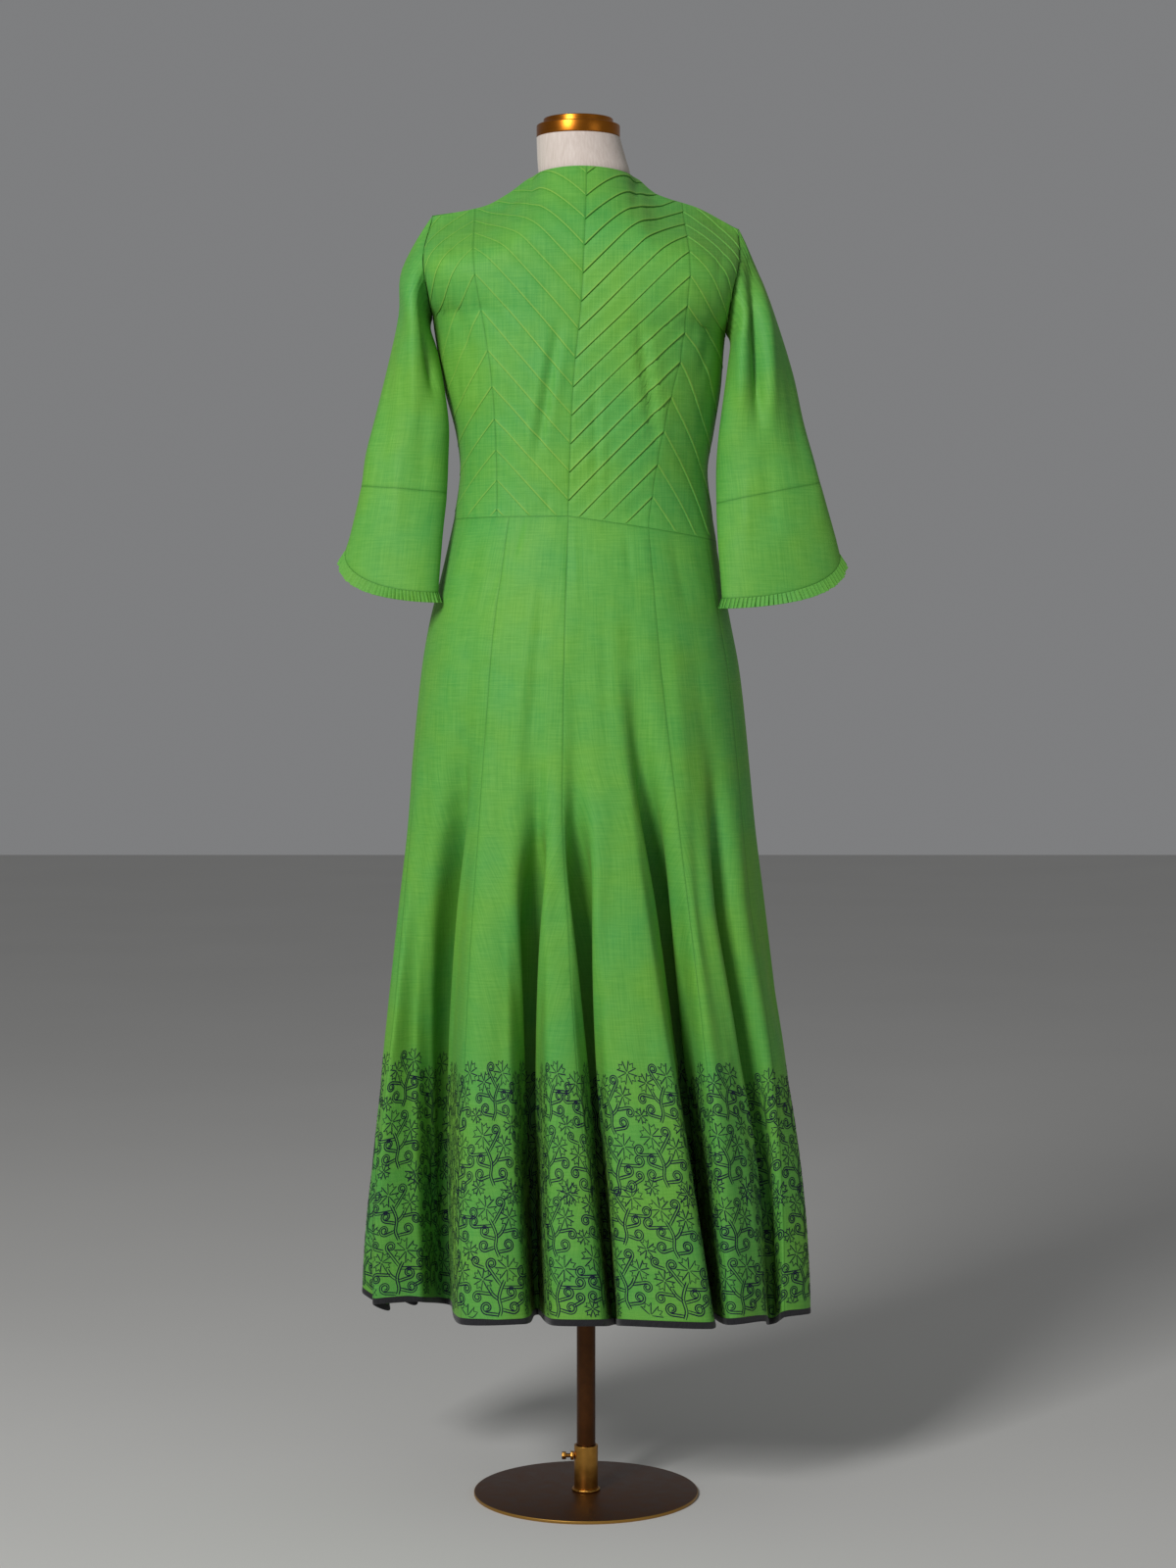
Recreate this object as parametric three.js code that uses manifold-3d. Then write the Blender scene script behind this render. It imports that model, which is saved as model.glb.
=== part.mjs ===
// Long kurti on a limbless dress form: a pin-tucked bodice, three-quarter sleeves with frilled cuffs
// and a ten-gore skirt that falls in deep folds to a bound hem. Millimetres, +Z up, floor at z = 0.
// The kurti's back faces -Y. The origin is the middle of the base's underside, below the pole.
import * as THREE from "three";
import { mergeVertices } from "three/addons/utils/BufferGeometryUtils.js";
import Module from "manifold-3d";

// Cloth and seams
const CLOTH = 1.5;
const SEAM = 0.3;
const TUCK_PITCH = 32;
const TUCK_RAISE = 1.2;
const TUCK_FOLD = 1.5;
const TUCK_SLOPE = 1.06;
const TUCK_FIRST = 16;
const TUCKS = { lowest: -5, highest: 13 };
const SIDE_WRAP = 1.5;

// Half-widths and depths of the bodice outside, by height
const BODICE = [
  { z: 1110, left: 159, right: 149, back: 101, front: 99 },
  { z: 1150, left: 154, right: 148, back: 98, front: 97 },
  { z: 1205, left: 147, right: 142, back: 101, front: 103 },
  { z: 1250, left: 152, right: 149, back: 105, front: 112 },
  { z: 1300, left: 165, right: 157, back: 109, front: 122 },
  { z: 1350, left: 174, right: 161, back: 112, front: 124 },
  { z: 1400, left: 181, right: 167, back: 113, front: 116 },
  { z: 1450, left: 187, right: 177, back: 108, front: 104 },
  { z: 1510, left: 176, right: 176, back: 96, front: 92 },
];
// Upright seams of the back by height: two princess seams and the centre seam
const SEAMS = [
  { z: 1130, left: -102, centre: -21, right: 70 },
  { z: 1195, left: -102, centre: -19, right: 79 },
  { z: 1270, left: -105, centre: -16, right: 93 },
  { z: 1325, left: -110, centre: -12, right: 107 },
  { z: 1380, left: -119, centre: -6, right: 114 },
  { z: 1430, left: -127, centre: -3, right: 118 },
  { z: 1505, left: -129, centre: 0, right: 112 },
  { z: 1551, left: -129, centre: 1, right: 112 },
];
// Height of the waist seam: level on the left, falling towards the right side from near the middle
const WAIST = { breakX: -20, left: 1149, fall: 0.146 };
// Height of the shoulder seam across the body
const SHOULDER = [
  { x: -190, z: 1500 },
  { x: -173, z: 1502 },
  { x: -140, z: 1507 },
  { x: -113, z: 1514 },
  { x: -90, z: 1527 },
  { x: -58, z: 1547 },
  { x: 56, z: 1545 },
  { x: 80, z: 1527 },
  { x: 130, z: 1510 },
  { x: 157, z: 1496 },
  { x: 176, z: 1486 },
  { x: 192, z: 1482 },
];
const SHOULDER_TIP = { left: -175, right: 176 };
const NECK_X = -2;
const NECK_HALF_WIDTH = 57;
const NECK_BACK_DEPTH = 56;
const NECK_FRONT_DEPTH = 50;
const NECK_FRONT_DROP = 72;
const SHOULDER_LINE_Y = -6;
const SECTION_FULLNESS = 2.4;
const SHOULDER_ROUND = 85;
// Armholes: where each starts under the arm and how far it bows to the back and the front
const ARMHOLE = {
  left: { pit: 1385, back: 62, front: 58 },
  right: { pit: 1366, back: 62, front: 58 },
};

// The skirt hangs as a smooth cone from the waist: half-widths, back and front by height
const SKIRT = [
  { z: 1150, left: 154, right: 148, back: 98, front: 97 },
  { z: 1090, left: 168, right: 158, back: 112, front: 106 },
  { z: 1030, left: 183, right: 169, back: 122, front: 112 },
  { z: 970, left: 193, right: 180, back: 128, front: 116 },
  { z: 860, left: 204, right: 192, back: 131, front: 122 },
  { z: 770, left: 211, right: 200, back: 132, front: 130 },
  { z: 650, left: 223, right: 213, back: 133, front: 140 },
  { z: 540, left: 234, right: 226, back: 133, front: 148 },
  { z: 420, left: 243, right: 241, back: 134, front: 156 },
  { z: 219, left: 262, right: 262, back: 134, front: 166 },
];
// One row a fold, from the left side over the back to the right side and round the front. Each fold
// has the valley on its left and its two shoulders, as they lie at the hem. turn is the valley's
// place round the waist in degrees from centre back, start the height where the valley begins.
const FOLDS = [
  { turn: -92, start: 560, valleyX: -238, valleyY: 76, leftX: -253, leftY: 34, rightX: -198, rightY: 30 },
  { turn: -44, start: 955, valleyX: -166, valleyY: 104, leftX: -143, leftY: -106, rightX: -70, rightY: -114 },
  { turn: -16, start: 800, valleyX: -57, valleyY: 48, leftX: -33, leftY: -124, rightX: 14, rightY: -128 },
  { turn: -3.2, start: 821, valleyX: 34, valleyY: -6, leftX: 47, leftY: -126, rightX: 140, rightY: -128 },
  { turn: 17, start: 980, valleyX: 142, valleyY: 46, leftX: 163, leftY: -104, rightX: 205, rightY: -74 },
  { turn: 51, start: 700, valleyX: 217, valleyY: -6, leftX: 231, leftY: -46, rightX: 264, rightY: -12 },
  { turn: 95, start: 600, valleyX: 232, valleyY: 66, leftX: 262, leftY: 92, rightX: 232, rightY: 142 },
  { turn: 125, start: 820, valleyX: 176, valleyY: 84, leftX: 178, leftY: 180, rightX: 112, rightY: 199 },
  { turn: 156, start: 760, valleyX: 78, valleyY: 104, leftX: 52, leftY: 207, rightX: -12, rightY: 209 },
  { turn: 187.46, start: 900, valleyX: -38, valleyY: 112, leftX: -62, leftY: 206, rightX: -122, rightY: 196 },
  { turn: 216, start: 720, valleyX: -136, valleyY: 106, leftX: -160, leftY: 188, rightX: -214, rightY: 168 },
  { turn: 245, start: 640, valleyX: -208, valleyY: 104, leftX: -262, leftY: 152, rightX: -272, rightY: 108 },
];
const FOLD_GROWTH = 1.25;
const TENSION = 0.38;
const HEM_AT_RIDGE = 227;
const HEM_AT_VALLEY = 202;
const HEM_SIDE_DROP = 10;
const SIDE_HALF_WIDTH = 260;
const SKIRT_ROWS = [1, 0.93, 0.83, 0.7, 0.55, 0.38, 0.19, 0];
const STEPS_A_POINT = 3;
// Gore seams, counted in points round the skirt: three to a fold, valley, left and right shoulder
const GORE_SEAMS = [1, 4, 8, 13, 16, 20, 23, 27, 30, 34];
const BINDING_HEIGHT = 8;
const BINDING_THICK = 1.6;

// Sleeves: rings from armhole to cuff hem. The inner end lies by the body, the outer end away from
// it, and half is half the tube's thickness between them.
const SLEEVES = {
  left: [
    { innerX: -187, innerY: -1, innerZ: 1368, outerX: -213, outerY: 0, outerZ: 1440, half: 60, bend: 0 },
    { innerX: -183, innerY: -6, innerZ: 1342, outerX: -217, outerY: -4, outerZ: 1386, half: 55, bend: 0 },
    { innerX: -176, innerY: -12, innerZ: 1302, outerX: -231, outerY: -9, outerZ: 1322, half: 47, bend: 0 },
    { innerX: -165, innerY: -18, innerZ: 1258, outerX: -245, outerY: -14, outerZ: 1265, half: 40, bend: 0 },
    { innerX: -160, innerY: -24, innerZ: 1218, outerX: -256, outerY: -18, outerZ: 1222, half: 35, bend: 0 },
    { innerX: -161, innerY: -34, innerZ: 1178, outerX: -261, outerY: -22, outerZ: 1186, half: 31, bend: 0 },
    { innerX: -166, innerY: -44, innerZ: 1130, outerX: -270, outerY: -26, outerZ: 1146, half: 28, bend: 0.4 },
    { innerX: -171, innerY: -54, innerZ: 1063, outerX: -279, outerY: -28, outerZ: 1112, half: 25, bend: 1 },
  ],
  right: [
    { innerX: 178, innerY: -1, innerZ: 1352, outerX: 204, outerY: 0, outerZ: 1424, half: 60, bend: 0 },
    { innerX: 174, innerY: -6, innerZ: 1326, outerX: 222, outerY: -4, outerZ: 1376, half: 55, bend: 0 },
    { innerX: 169, innerY: -12, innerZ: 1290, outerX: 240, outerY: -9, outerZ: 1318, half: 47, bend: 0 },
    { innerX: 158, innerY: -18, innerZ: 1246, outerX: 252, outerY: -14, outerZ: 1264, half: 41, bend: 0 },
    { innerX: 150, innerY: -26, innerZ: 1208, outerX: 263, outerY: -18, outerZ: 1222, half: 36, bend: 0 },
    { innerX: 150, innerY: -38, innerZ: 1166, outerX: 271, outerY: -22, outerZ: 1190, half: 32, bend: 0 },
    { innerX: 152, innerY: -50, innerZ: 1116, outerX: 282, outerY: -26, outerZ: 1150, half: 29, bend: 0.4 },
    { innerX: 157, innerY: -60, innerZ: 1056, outerX: 294, outerY: -28, outerZ: 1108, half: 26, bend: 1 },
  ],
};
const CUFF_RING = 5;
const SLEEVE_STEPS = 30;
const ARMHOLE_GAP = 0.9;
const FRILL_PLEATS = 72;
const FRILL_LENGTH = 12;
const FRILL_DEPTH = 2;
const FRILL_FLARE = 4;
const FRILL_CLOTH = 1;

// How closely columns and rings are measured, how near an edge a row joins it, what counts as one
// point, and the share of the half-width from which a point counts as on the side seam
const COLUMN_SAMPLES = 60;
const RING_SAMPLES = 720;
const ON_SIDE = 0.999;
const EDGE_SNAP = 1.5;
const MERGE = 1e-4;

// Dress form and stand
const FORM_CLEARANCE = 8;
const FORM_SEAT = 0.6;
const FORM_EASE = 36;
const NECK_EASE = 8;
const FORM_BOTTOM = 885;
const FORM_HIP_TAPER = 0.03;
const NECK_TOP = 1591.5;
const CAP = { x: -9, band: 48.5, bandHeight: 14, disc: 40.5, discHeight: 7.6, lip: 1.2 };
const POLE_RADIUS = 11;
const SOCKET = { inner: 11.4, outer: 14, height: 54, weld: 3.5 };
const SCREW = { z: 45, radius: 2.6, length: 17, headRadius: 4.6, headLength: 4.5 };
const LOCK_NUT = { radius: 5.4, length: 4 };
const BASE = { radius: 132.5, thick: 3.7, bevel: 0.8 };

const wasm = await Module();
wasm.setup();

const garment = new THREE.Group();
const stand = new THREE.Group();

// Finishes
const CLOTH_GREEN = { color: 0x6db065, roughness: 0.8, metalness: 0 };
const BLACK_TAPE = { color: 0x141416, roughness: 0.85, metalness: 0 };
const CREAM_COVER = { color: 0xd8ccc5, roughness: 0.85, metalness: 0 };
const BRASS = { color: 0xb07a35, roughness: 0.35, metalness: 1 };
const BRONZE = { color: 0x4a2a10, roughness: 0.45, metalness: 0.8 };

function add(group, name, geometry, finish) {
  const mesh = new THREE.Mesh(geometry, new THREE.MeshStandardMaterial(finish));
  mesh.name = name;
  group.add(mesh);
  return mesh;
}

const clamp = (value, low, high) => Math.min(Math.max(value, low), high);
const mix = (a, b, share) => a + (b - a) * share;

// A smooth curve through one column of a table, read at any place along its key column
function reader(rows, key, column) {
  const sorted = [...rows].sort((a, b) => a[key] - b[key]);
  const places = sorted.map((row) => row[key]);
  const values = sorted.map((row) => row[column]);
  const last = places.length - 1;
  const slope = (i) => {
    const before = Math.max(i - 1, 0);
    const after = Math.min(i + 1, last);
    return (values[after] - values[before]) / (places[after] - places[before]);
  };
  return (place) => {
    const at = clamp(place, places[0], places[last]);
    let i = 0;
    while (i < last - 1 && places[i + 1] < at) i += 1;
    const span = places[i + 1] - places[i];
    const t = (at - places[i]) / span;
    const fromStart = (1 + 2 * t) * (1 - t) ** 2 * values[i] + t * (1 - t) ** 2 * span * slope(i);
    const fromEnd = t * t * (3 - 2 * t) * values[i + 1] - t * t * (1 - t) * span * slope(i + 1);
    return fromStart + fromEnd;
  };
}

function readers(rows, key, columns) {
  return Object.fromEntries(columns.map((column) => [column, reader(rows, key, column)]));
}

const bodice = readers(BODICE, "z", ["left", "right", "back", "front"]);
const cone = readers(SKIRT, "z", ["left", "right", "back", "front"]);
const seams = readers(SEAMS, "z", ["left", "centre", "right"]);
const waistHeight = (x) => WAIST.left - WAIST.fall * Math.max(0, x - WAIST.breakX);
const shoulderHeight = reader(SHOULDER, "x", "z");
const WAIST_TOP = 1150;

const sideOf = (x) => (x < 0 ? "left" : "right");
const halfWidth = (side, z) => (z < WAIST_TOP ? cone[side](z) : bodice[side](z));
const depthAt = (face, z) => (z < WAIST_TOP ? cone[face](z) : bodice[face](z));
const faceSign = (face) => (face === "back" ? -1 : 1);
const roundOff = (share) => Math.sqrt(Math.max(0, 1 - Math.abs(share) ** 2));
const sectionRound = (share) => Math.sqrt(Math.max(0, 1 - Math.abs(share) ** SECTION_FULLNESS));

// The waist seam's height on a line up the body, whose place across it is given at any height
function waistOn(acrossAt) {
  let z = WAIST_TOP;
  for (let i = 0; i < 6; i += 1) z = waistHeight(acrossAt(z));
  return z;
}

// How far the armhole's edge bows to the back or front of the side seam's line
function edgeBow(face, side, z) {
  const { pit } = ARMHOLE[side];
  const tip = shoulderHeight(side === "left" ? SHOULDER_TIP.left : SHOULDER_TIP.right);
  const up = clamp((z - pit) / (tip - pit), 0, 1);
  return faceSign(face) * ARMHOLE[side][face] * Math.sin(Math.PI * up) ** 0.6;
}

// The line in which front and back meet: the shoulder ridge, parting round the neck
function ridgeY(face, x) {
  const fromNeck = (x - NECK_X) / NECK_HALF_WIDTH;
  if (Math.abs(fromNeck) >= 1) return SHOULDER_LINE_Y;
  const neckDepth = face === "back" ? NECK_BACK_DEPTH : NECK_FRONT_DEPTH;
  return SHOULDER_LINE_Y + faceSign(face) * neckDepth * roundOff(fromNeck);
}

// A point on the outside of the body: share runs from -1 at the left edge to 1 at the right edge
function bodyPoint(face, share, z) {
  const side = sideOf(share);
  const x = halfWidth(side, z) * share;
  const edge = edgeBow(face, side, z);
  const middle = faceSign(face) * depthAt(face, z);
  const flat = edge + (middle - edge) * sectionRound(share);
  const up = clamp((z - shoulderHeight(x) + SHOULDER_ROUND) / SHOULDER_ROUND, 0, 1);
  const ridge = ridgeY(face, x);
  const rounded = up > 0 ? ridge + (flat - ridge) * Math.cos((up * Math.PI) / 2) : flat;
  return new THREE.Vector3(x, rounded, z);
}

// The same body a given depth under its surface. A seam where front meets back is mitred.
function bodyInside(face, share, z, depth, mitred) {
  const point = bodyPoint(face, share, z);
  const shareStep = share > 0.5 ? -0.02 : 0.02;
  const across = bodyPoint(face, share + shareStep, z).sub(point).multiplyScalar(Math.sign(shareStep));
  const up = point.clone().sub(bodyPoint(face, share, z - 1));
  const normal = across.cross(up).normalize().multiplyScalar(faceSign(face) === -1 ? 1 : -1);
  if (mitred) {
    normal.y = 0;
    normal.divideScalar(Math.max(normal.lengthSq(), 0.4));
  }
  return point.addScaledVector(normal, -depth);
}

// A closed solid from two like grids of points, an outer and an inner one. Rows that have run
// together at an edge leave no faces there.
function shell(outer, inner, closed = false) {
  const corners = [];
  const quad = (a, b, c, d) => {
    corners.push(a, b, c, a, c, d);
  };
  const rows = outer.length - 1;
  const columns = outer[0].length;
  const spans = closed ? columns : columns - 1;
  for (let c = 0; c < spans; c += 1) {
    const n = (c + 1) % columns;
    for (let r = 0; r < rows; r += 1) {
      quad(outer[r][c], outer[r][n], outer[r + 1][n], outer[r + 1][c]);
      quad(inner[r][c], inner[r + 1][c], inner[r + 1][n], inner[r][n]);
    }
    quad(inner[0][c], inner[0][n], outer[0][n], outer[0][c]);
    quad(outer[rows][n], inner[rows][n], inner[rows][c], outer[rows][c]);
  }
  for (let r = 0; r < rows && !closed; r += 1) {
    quad(outer[r][0], outer[r + 1][0], inner[r + 1][0], inner[r][0]);
    quad(outer[r][spans], inner[r][spans], inner[r + 1][spans], outer[r + 1][spans]);
  }
  return solidFrom(corners);
}

// Joins like corners, drops faces with no area and turns the whole so that its faces look out
function solidFrom(corners) {
  const numbers = corners.flatMap((corner) => [corner.x, corner.y, corner.z]);
  const loose = new THREE.BufferGeometry();
  loose.setAttribute("position", new THREE.Float32BufferAttribute(numbers, 3));
  const geometry = mergeVertices(loose, MERGE);
  const index = geometry.index.array;
  const kept = [];
  const at = (i) => new THREE.Vector3().fromBufferAttribute(geometry.getAttribute("position"), i);
  let volume = 0;
  for (let i = 0; i < index.length; i += 3) {
    const [a, b, c] = [index[i], index[i + 1], index[i + 2]];
    if (a === b || b === c || a === c) continue;
    kept.push(a, b, c);
    volume += at(a).dot(at(b).cross(at(c)));
  }
  if (volume < 0) kept.reverse();
  geometry.setIndex(kept);
  geometry.computeVertexNormals();
  return geometry;
}

// Bodice

// One upright column of a panel between its waist and its top, share of the way from seam to seam.
// Tucks run along lines of equal reach: the height on the cloth less the rise of the chevron.
function panelColumn(face, share, top, reach) {
  const samples = [];
  const bottom = waistOn((z) => halfWidth(sideOf(share(z)), z) * share(z));
  let length = bottom - WAIST_TOP;
  let before = bodyPoint(face, share(bottom), bottom);
  for (let i = 0; i <= COLUMN_SAMPLES; i += 1) {
    const z = mix(bottom, top, i / COLUMN_SAMPLES);
    const here = bodyPoint(face, share(z), z);
    length += Math.hypot(here.y - before.y, here.z - before.z);
    before = here;
    samples.push({ z, reach: length - reach(here.x, z) });
  }
  return { bottom, top, samples };
}

// The height in a column at which a reach lies, held to the column's own ends
function heightAtReach(column, wanted) {
  const { samples, bottom, top } = column;
  const above = samples.findIndex((sample) => sample.reach >= wanted);
  if (above === 0) return bottom;
  if (above < 0) return top;
  const low = samples[above - 1];
  const high = samples[above];
  const z = mix(low.z, high.z, (wanted - low.reach) / (high.reach - low.reach));
  if (z < bottom + EDGE_SNAP) return bottom;
  return z > top - EDGE_SNAP ? top : z;
}

// The top of a column: the shoulder seam, the neckline, or the armhole's tip
function columnTop(share) {
  let z = shoulderHeight(0);
  for (let i = 0; i < 6; i += 1) {
    z = shoulderHeight(halfWidth(sideOf(share(z)), z) * share(z));
  }
  return z;
}

// Columns across the whole body, close together at the neck and at the sides
const HALF_COLUMNS = [0.13, 0.25, 0.33, 0.46, 0.6, 0.74, 0.86, 0.95, 1];
const BODY_COLUMNS = [...HALF_COLUMNS.map((share) => -share).reverse(), 0, ...HALF_COLUMNS];

const shareAt = (x, z) => x / halfWidth(sideOf(x), z);

// A back panel with its tucks: shares of its width for the columns, and the two seams it lies between
function tuckedPanel(shares, seamA, seamB, reach) {
  const columns = shares.map((part) => {
    const gap = mix(SEAM / 2, -SEAM / 2, part) * Math.sign(seamB(WAIST_TOP) - seamA(WAIST_TOP));
    const share = (z) => {
      const x = mix(seamA(z), seamB(z), part) + gap;
      return clamp(shareAt(x, z), -1, 1);
    };
    return { share, ...panelColumn("back", share, columnTop(share), reach) };
  });
  const rows = [{ reach: -Infinity, raise: 0 }];
  for (let tuck = TUCKS.lowest; tuck <= TUCKS.highest; tuck += 1) {
    const line = TUCK_FIRST + tuck * TUCK_PITCH;
    rows.push({ reach: line, raise: 0 });
    rows.push({ reach: line + TUCK_FOLD, raise: TUCK_RAISE });
  }
  rows.push({ reach: Infinity, raise: 0 });
  const grid = (depth) =>
    rows.map((row) =>
      columns.map((column) => {
        const z = heightAtReach(column, row.reach);
        const atBottom = z === column.bottom;
        const atTop = z === column.top;
        const raise = depth === 0 && !atBottom && !atTop ? row.raise : 0;
        const point = seamPoint("back", column.share(z), z, depth - raise, atTop);
        return atBottom ? point.setZ(z) : point;
      }),
    );
  return shell(grid(0), grid(CLOTH));
}

// A point of front or back, with half the seam's gap kept where the two meet
function seamPoint(face, share, z, depth, atTop) {
  const side = sideOf(share);
  const x = halfWidth(side, z) * share;
  const onShoulder = atTop && Math.abs(x - NECK_X) >= NECK_HALF_WIDTH;
  const onSide = Math.abs(share) > ON_SIDE && z <= ARMHOLE[side].pit;
  const meets = onShoulder || onSide;
  const point = bodyInside(face, share, z, depth, meets);
  if (meets) point.y += (faceSign(face) * SEAM) / 2;
  return point;
}

function buildBack() {
  const left = (z) => -halfWidth("left", z);
  const right = (z) => halfWidth("right", z);
  const chevron = (x, z) => TUCK_SLOPE * Math.abs(x - seams.centre(z));
  const sideLine = (princess) => (x, z) => {
    const outward = Math.abs(x - princess(z));
    const wrapped = outward * (1 + SIDE_WRAP * (outward / halfWidth(sideOf(x), z)) ** 2);
    return TUCK_SLOPE * (Math.abs(princess(z) - seams.centre(z)) - wrapped);
  };
  const centreShares = [0, 0.18, 0.34, 0.42, 0.46, 0.64, 0.82, 1];
  const sideShares = [0, 0.3, 0.58, 0.8, 0.94, 1];
  const panels = {
    back_centre_left: [centreShares, seams.centre, seams.left, chevron],
    back_centre_right: [centreShares, seams.centre, seams.right, chevron],
    back_side_left: [sideShares, seams.left, left, sideLine(seams.left)],
    back_side_right: [sideShares, seams.right, right, sideLine(seams.right)],
  };
  for (const [name, [shares, seamA, seamB, reach]] of Object.entries(panels)) {
    add(garment, name, tuckedPanel(shares, seamA, seamB, reach), CLOTH_GREEN);
  }
}

// The front is one plain piece with a round neck, lower than the back's
function buildFront() {
  const rowCount = 9;
  const columns = [];
  for (const share of BODY_COLUMNS) {
    const top = columnTop(() => share);
    const fromNeck = (halfWidth(sideOf(share), top) * share - NECK_X) / NECK_HALF_WIDTH;
    const cut = Math.abs(fromNeck) < 1 ? NECK_FRONT_DROP * roundOff(fromNeck) : 0;
    const bottom = waistOn((z) => halfWidth(sideOf(share), z) * share);
    columns.push({ share, bottom, top: top - cut, open: cut > 0 });
  }
  const grid = (depth) =>
    Array.from({ length: rowCount + 1 }, (_, r) =>
      columns.map(({ share, bottom, top, open }) => {
        const rise = Math.sin(((r / rowCount) * Math.PI) / 2);
        const z = r === rowCount ? top : mix(bottom, top, rise);
        const point = seamPoint("front", share, z, depth, r === rowCount && !open);
        return r === 0 ? point.setZ(z) : point;
      }),
    );
  add(garment, "front", shell(grid(0), grid(CLOTH)), CLOTH_GREEN);
}

// Skirt

// The section's control points, three to a fold, with where each lies on the cone and at the hem
const CONTROLS = FOLDS.flatMap((fold, k) => {
  const next = FOLDS[(k + 1) % FOLDS.length];
  const span = (next.turn - fold.turn + 360) % 360;
  const points = [
    { turn: fold.turn, start: fold.start, x: fold.valleyX, y: fold.valleyY, hem: HEM_AT_VALLEY },
    { turn: fold.turn + span / 3, start: fold.start, x: fold.leftX, y: fold.leftY },
    { turn: fold.turn + (span * 2) / 3, start: next.start, x: fold.rightX, y: fold.rightY },
  ];
  for (const point of points) {
    point.hem ??= HEM_AT_RIDGE - HEM_SIDE_DROP * (point.x / SIDE_HALF_WIDTH) ** 2;
  }
  return points;
});
const control = (i) => CONTROLS[(i + CONTROLS.length) % CONTROLS.length];

// The smooth cone that the cloth would hang in without folds, turn in degrees from centre back
function conePoint(turn, z) {
  const angle = (turn * Math.PI) / 180;
  const across = Math.sin(angle);
  const face = Math.cos(angle) > 0 ? "back" : "front";
  const x = halfWidth(sideOf(across), Math.min(z, WAIST_TOP - 0.001)) * across;
  const y = faceSign(face) * cone[face](z) * sectionRound(across);
  return new THREE.Vector3(x, y, z);
}

const waistAtTurn = (turn) => waistOn((z) => conePoint(turn, z).x) - SEAM;

// A cardinal spline through the values at four neighbouring control points
function through(before, here, next, after, t) {
  const leaving = (next - before) * TENSION;
  const arriving = (after - here) * TENSION;
  const start = (1 + 2 * t) * (1 - t) ** 2 * here + t * (1 - t) ** 2 * leaving;
  return start + t * t * (3 - 2 * t) * next - t * t * (1 - t) * arriving;
}

// A point of the skirt: around counts control points, up runs from 0 at the hem to 1 at the waist
function skirtPoint(around, up) {
  const i = Math.floor(around);
  const t = around - i;
  const near = [-1, 0, 1, 2].map((step) => {
    const point = control(i + step);
    const height = mix(point.hem, waistAtTurn(point.turn), up);
    const grown = clamp((point.start - height) / (point.start - point.hem), 0, 1) ** FOLD_GROWTH;
    const shift = new THREE.Vector3(point.x, point.y, height).sub(conePoint(point.turn, height));
    return { height, shift: shift.multiplyScalar(grown) };
  });
  const smooth = (read) => through(...near.map(read), t);
  const span = (control(i + 1).turn - control(i).turn + 720) % 360;
  const turn = control(i).turn + span * t;
  const z = up === 1 ? waistAtTurn(turn) : smooth((point) => point.height);
  const point = conePoint(turn, z);
  point.x += smooth((each) => each.shift.x);
  point.y += smooth((each) => each.shift.y);
  return point;
}

// The same, a depth under the cloth's outside and a step sideways along it
function skirtCloth(around, up, depth, sideways) {
  const point = skirtPoint(around, up);
  const along = skirtPoint(around + 0.05, up).sub(skirtPoint(around - 0.05, up)).setZ(0).normalize();
  const outward = new THREE.Vector3(along.y, -along.x, 0);
  return point.addScaledVector(outward, -depth).addScaledVector(along, sideways);
}

function goreBand(from, to, ups, outside, inside) {
  const steps = (to - from) * STEPS_A_POINT;
  const grid = (depth) =>
    ups.map((up) =>
      Array.from({ length: steps + 1 }, (_, c) => {
        const sideways = c === 0 ? SEAM / 2 : c === steps ? -SEAM / 2 : 0;
        return skirtCloth(from + c / STEPS_A_POINT, up, depth, sideways);
      }),
    );
  return shell(grid(outside), grid(inside));
}

function buildSkirt() {
  const length = WAIST_TOP - HEM_AT_RIDGE;
  const bindingTop = BINDING_HEIGHT / length;
  const clothBottom = (BINDING_HEIGHT + SEAM) / length;
  const clothUps = SKIRT_ROWS.map((share) => mix(clothBottom, 1, share)).reverse();
  GORE_SEAMS.forEach((from, i) => {
    const to = i + 1 < GORE_SEAMS.length ? GORE_SEAMS[i + 1] : GORE_SEAMS[0] + CONTROLS.length;
    const number = String(i + 1).padStart(2, "0");
    const proud = (BINDING_THICK - CLOTH) / 2;
    add(garment, `skirt_gore_${number}`, goreBand(from, to, clothUps, 0, CLOTH), CLOTH_GREEN);
    const tape = goreBand(from, to, [0, bindingTop], -proud, CLOTH + proud);
    add(garment, `hem_binding_${number}`, tape, BLACK_TAPE);
  });
}

// Sleeves

// The armhole edge as a loop: angle 180 under the arm, 0 at the shoulder's tip, back below zero
function armholePoint(side, angle) {
  const { pit } = ARMHOLE[side];
  const outwards = side === "left" ? -1 : 1;
  const tip = shoulderHeight(SHOULDER_TIP[side]);
  const z = mix(pit, tip, (1 + Math.cos(angle)) / 2);
  const face = Math.sin(angle) < 0 ? "back" : "front";
  const edge = bodyPoint(face, outwards, clamp(z, pit, tip - 0.01));
  return edge.setX(edge.x + outwards * ARMHOLE_GAP);
}

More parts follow.
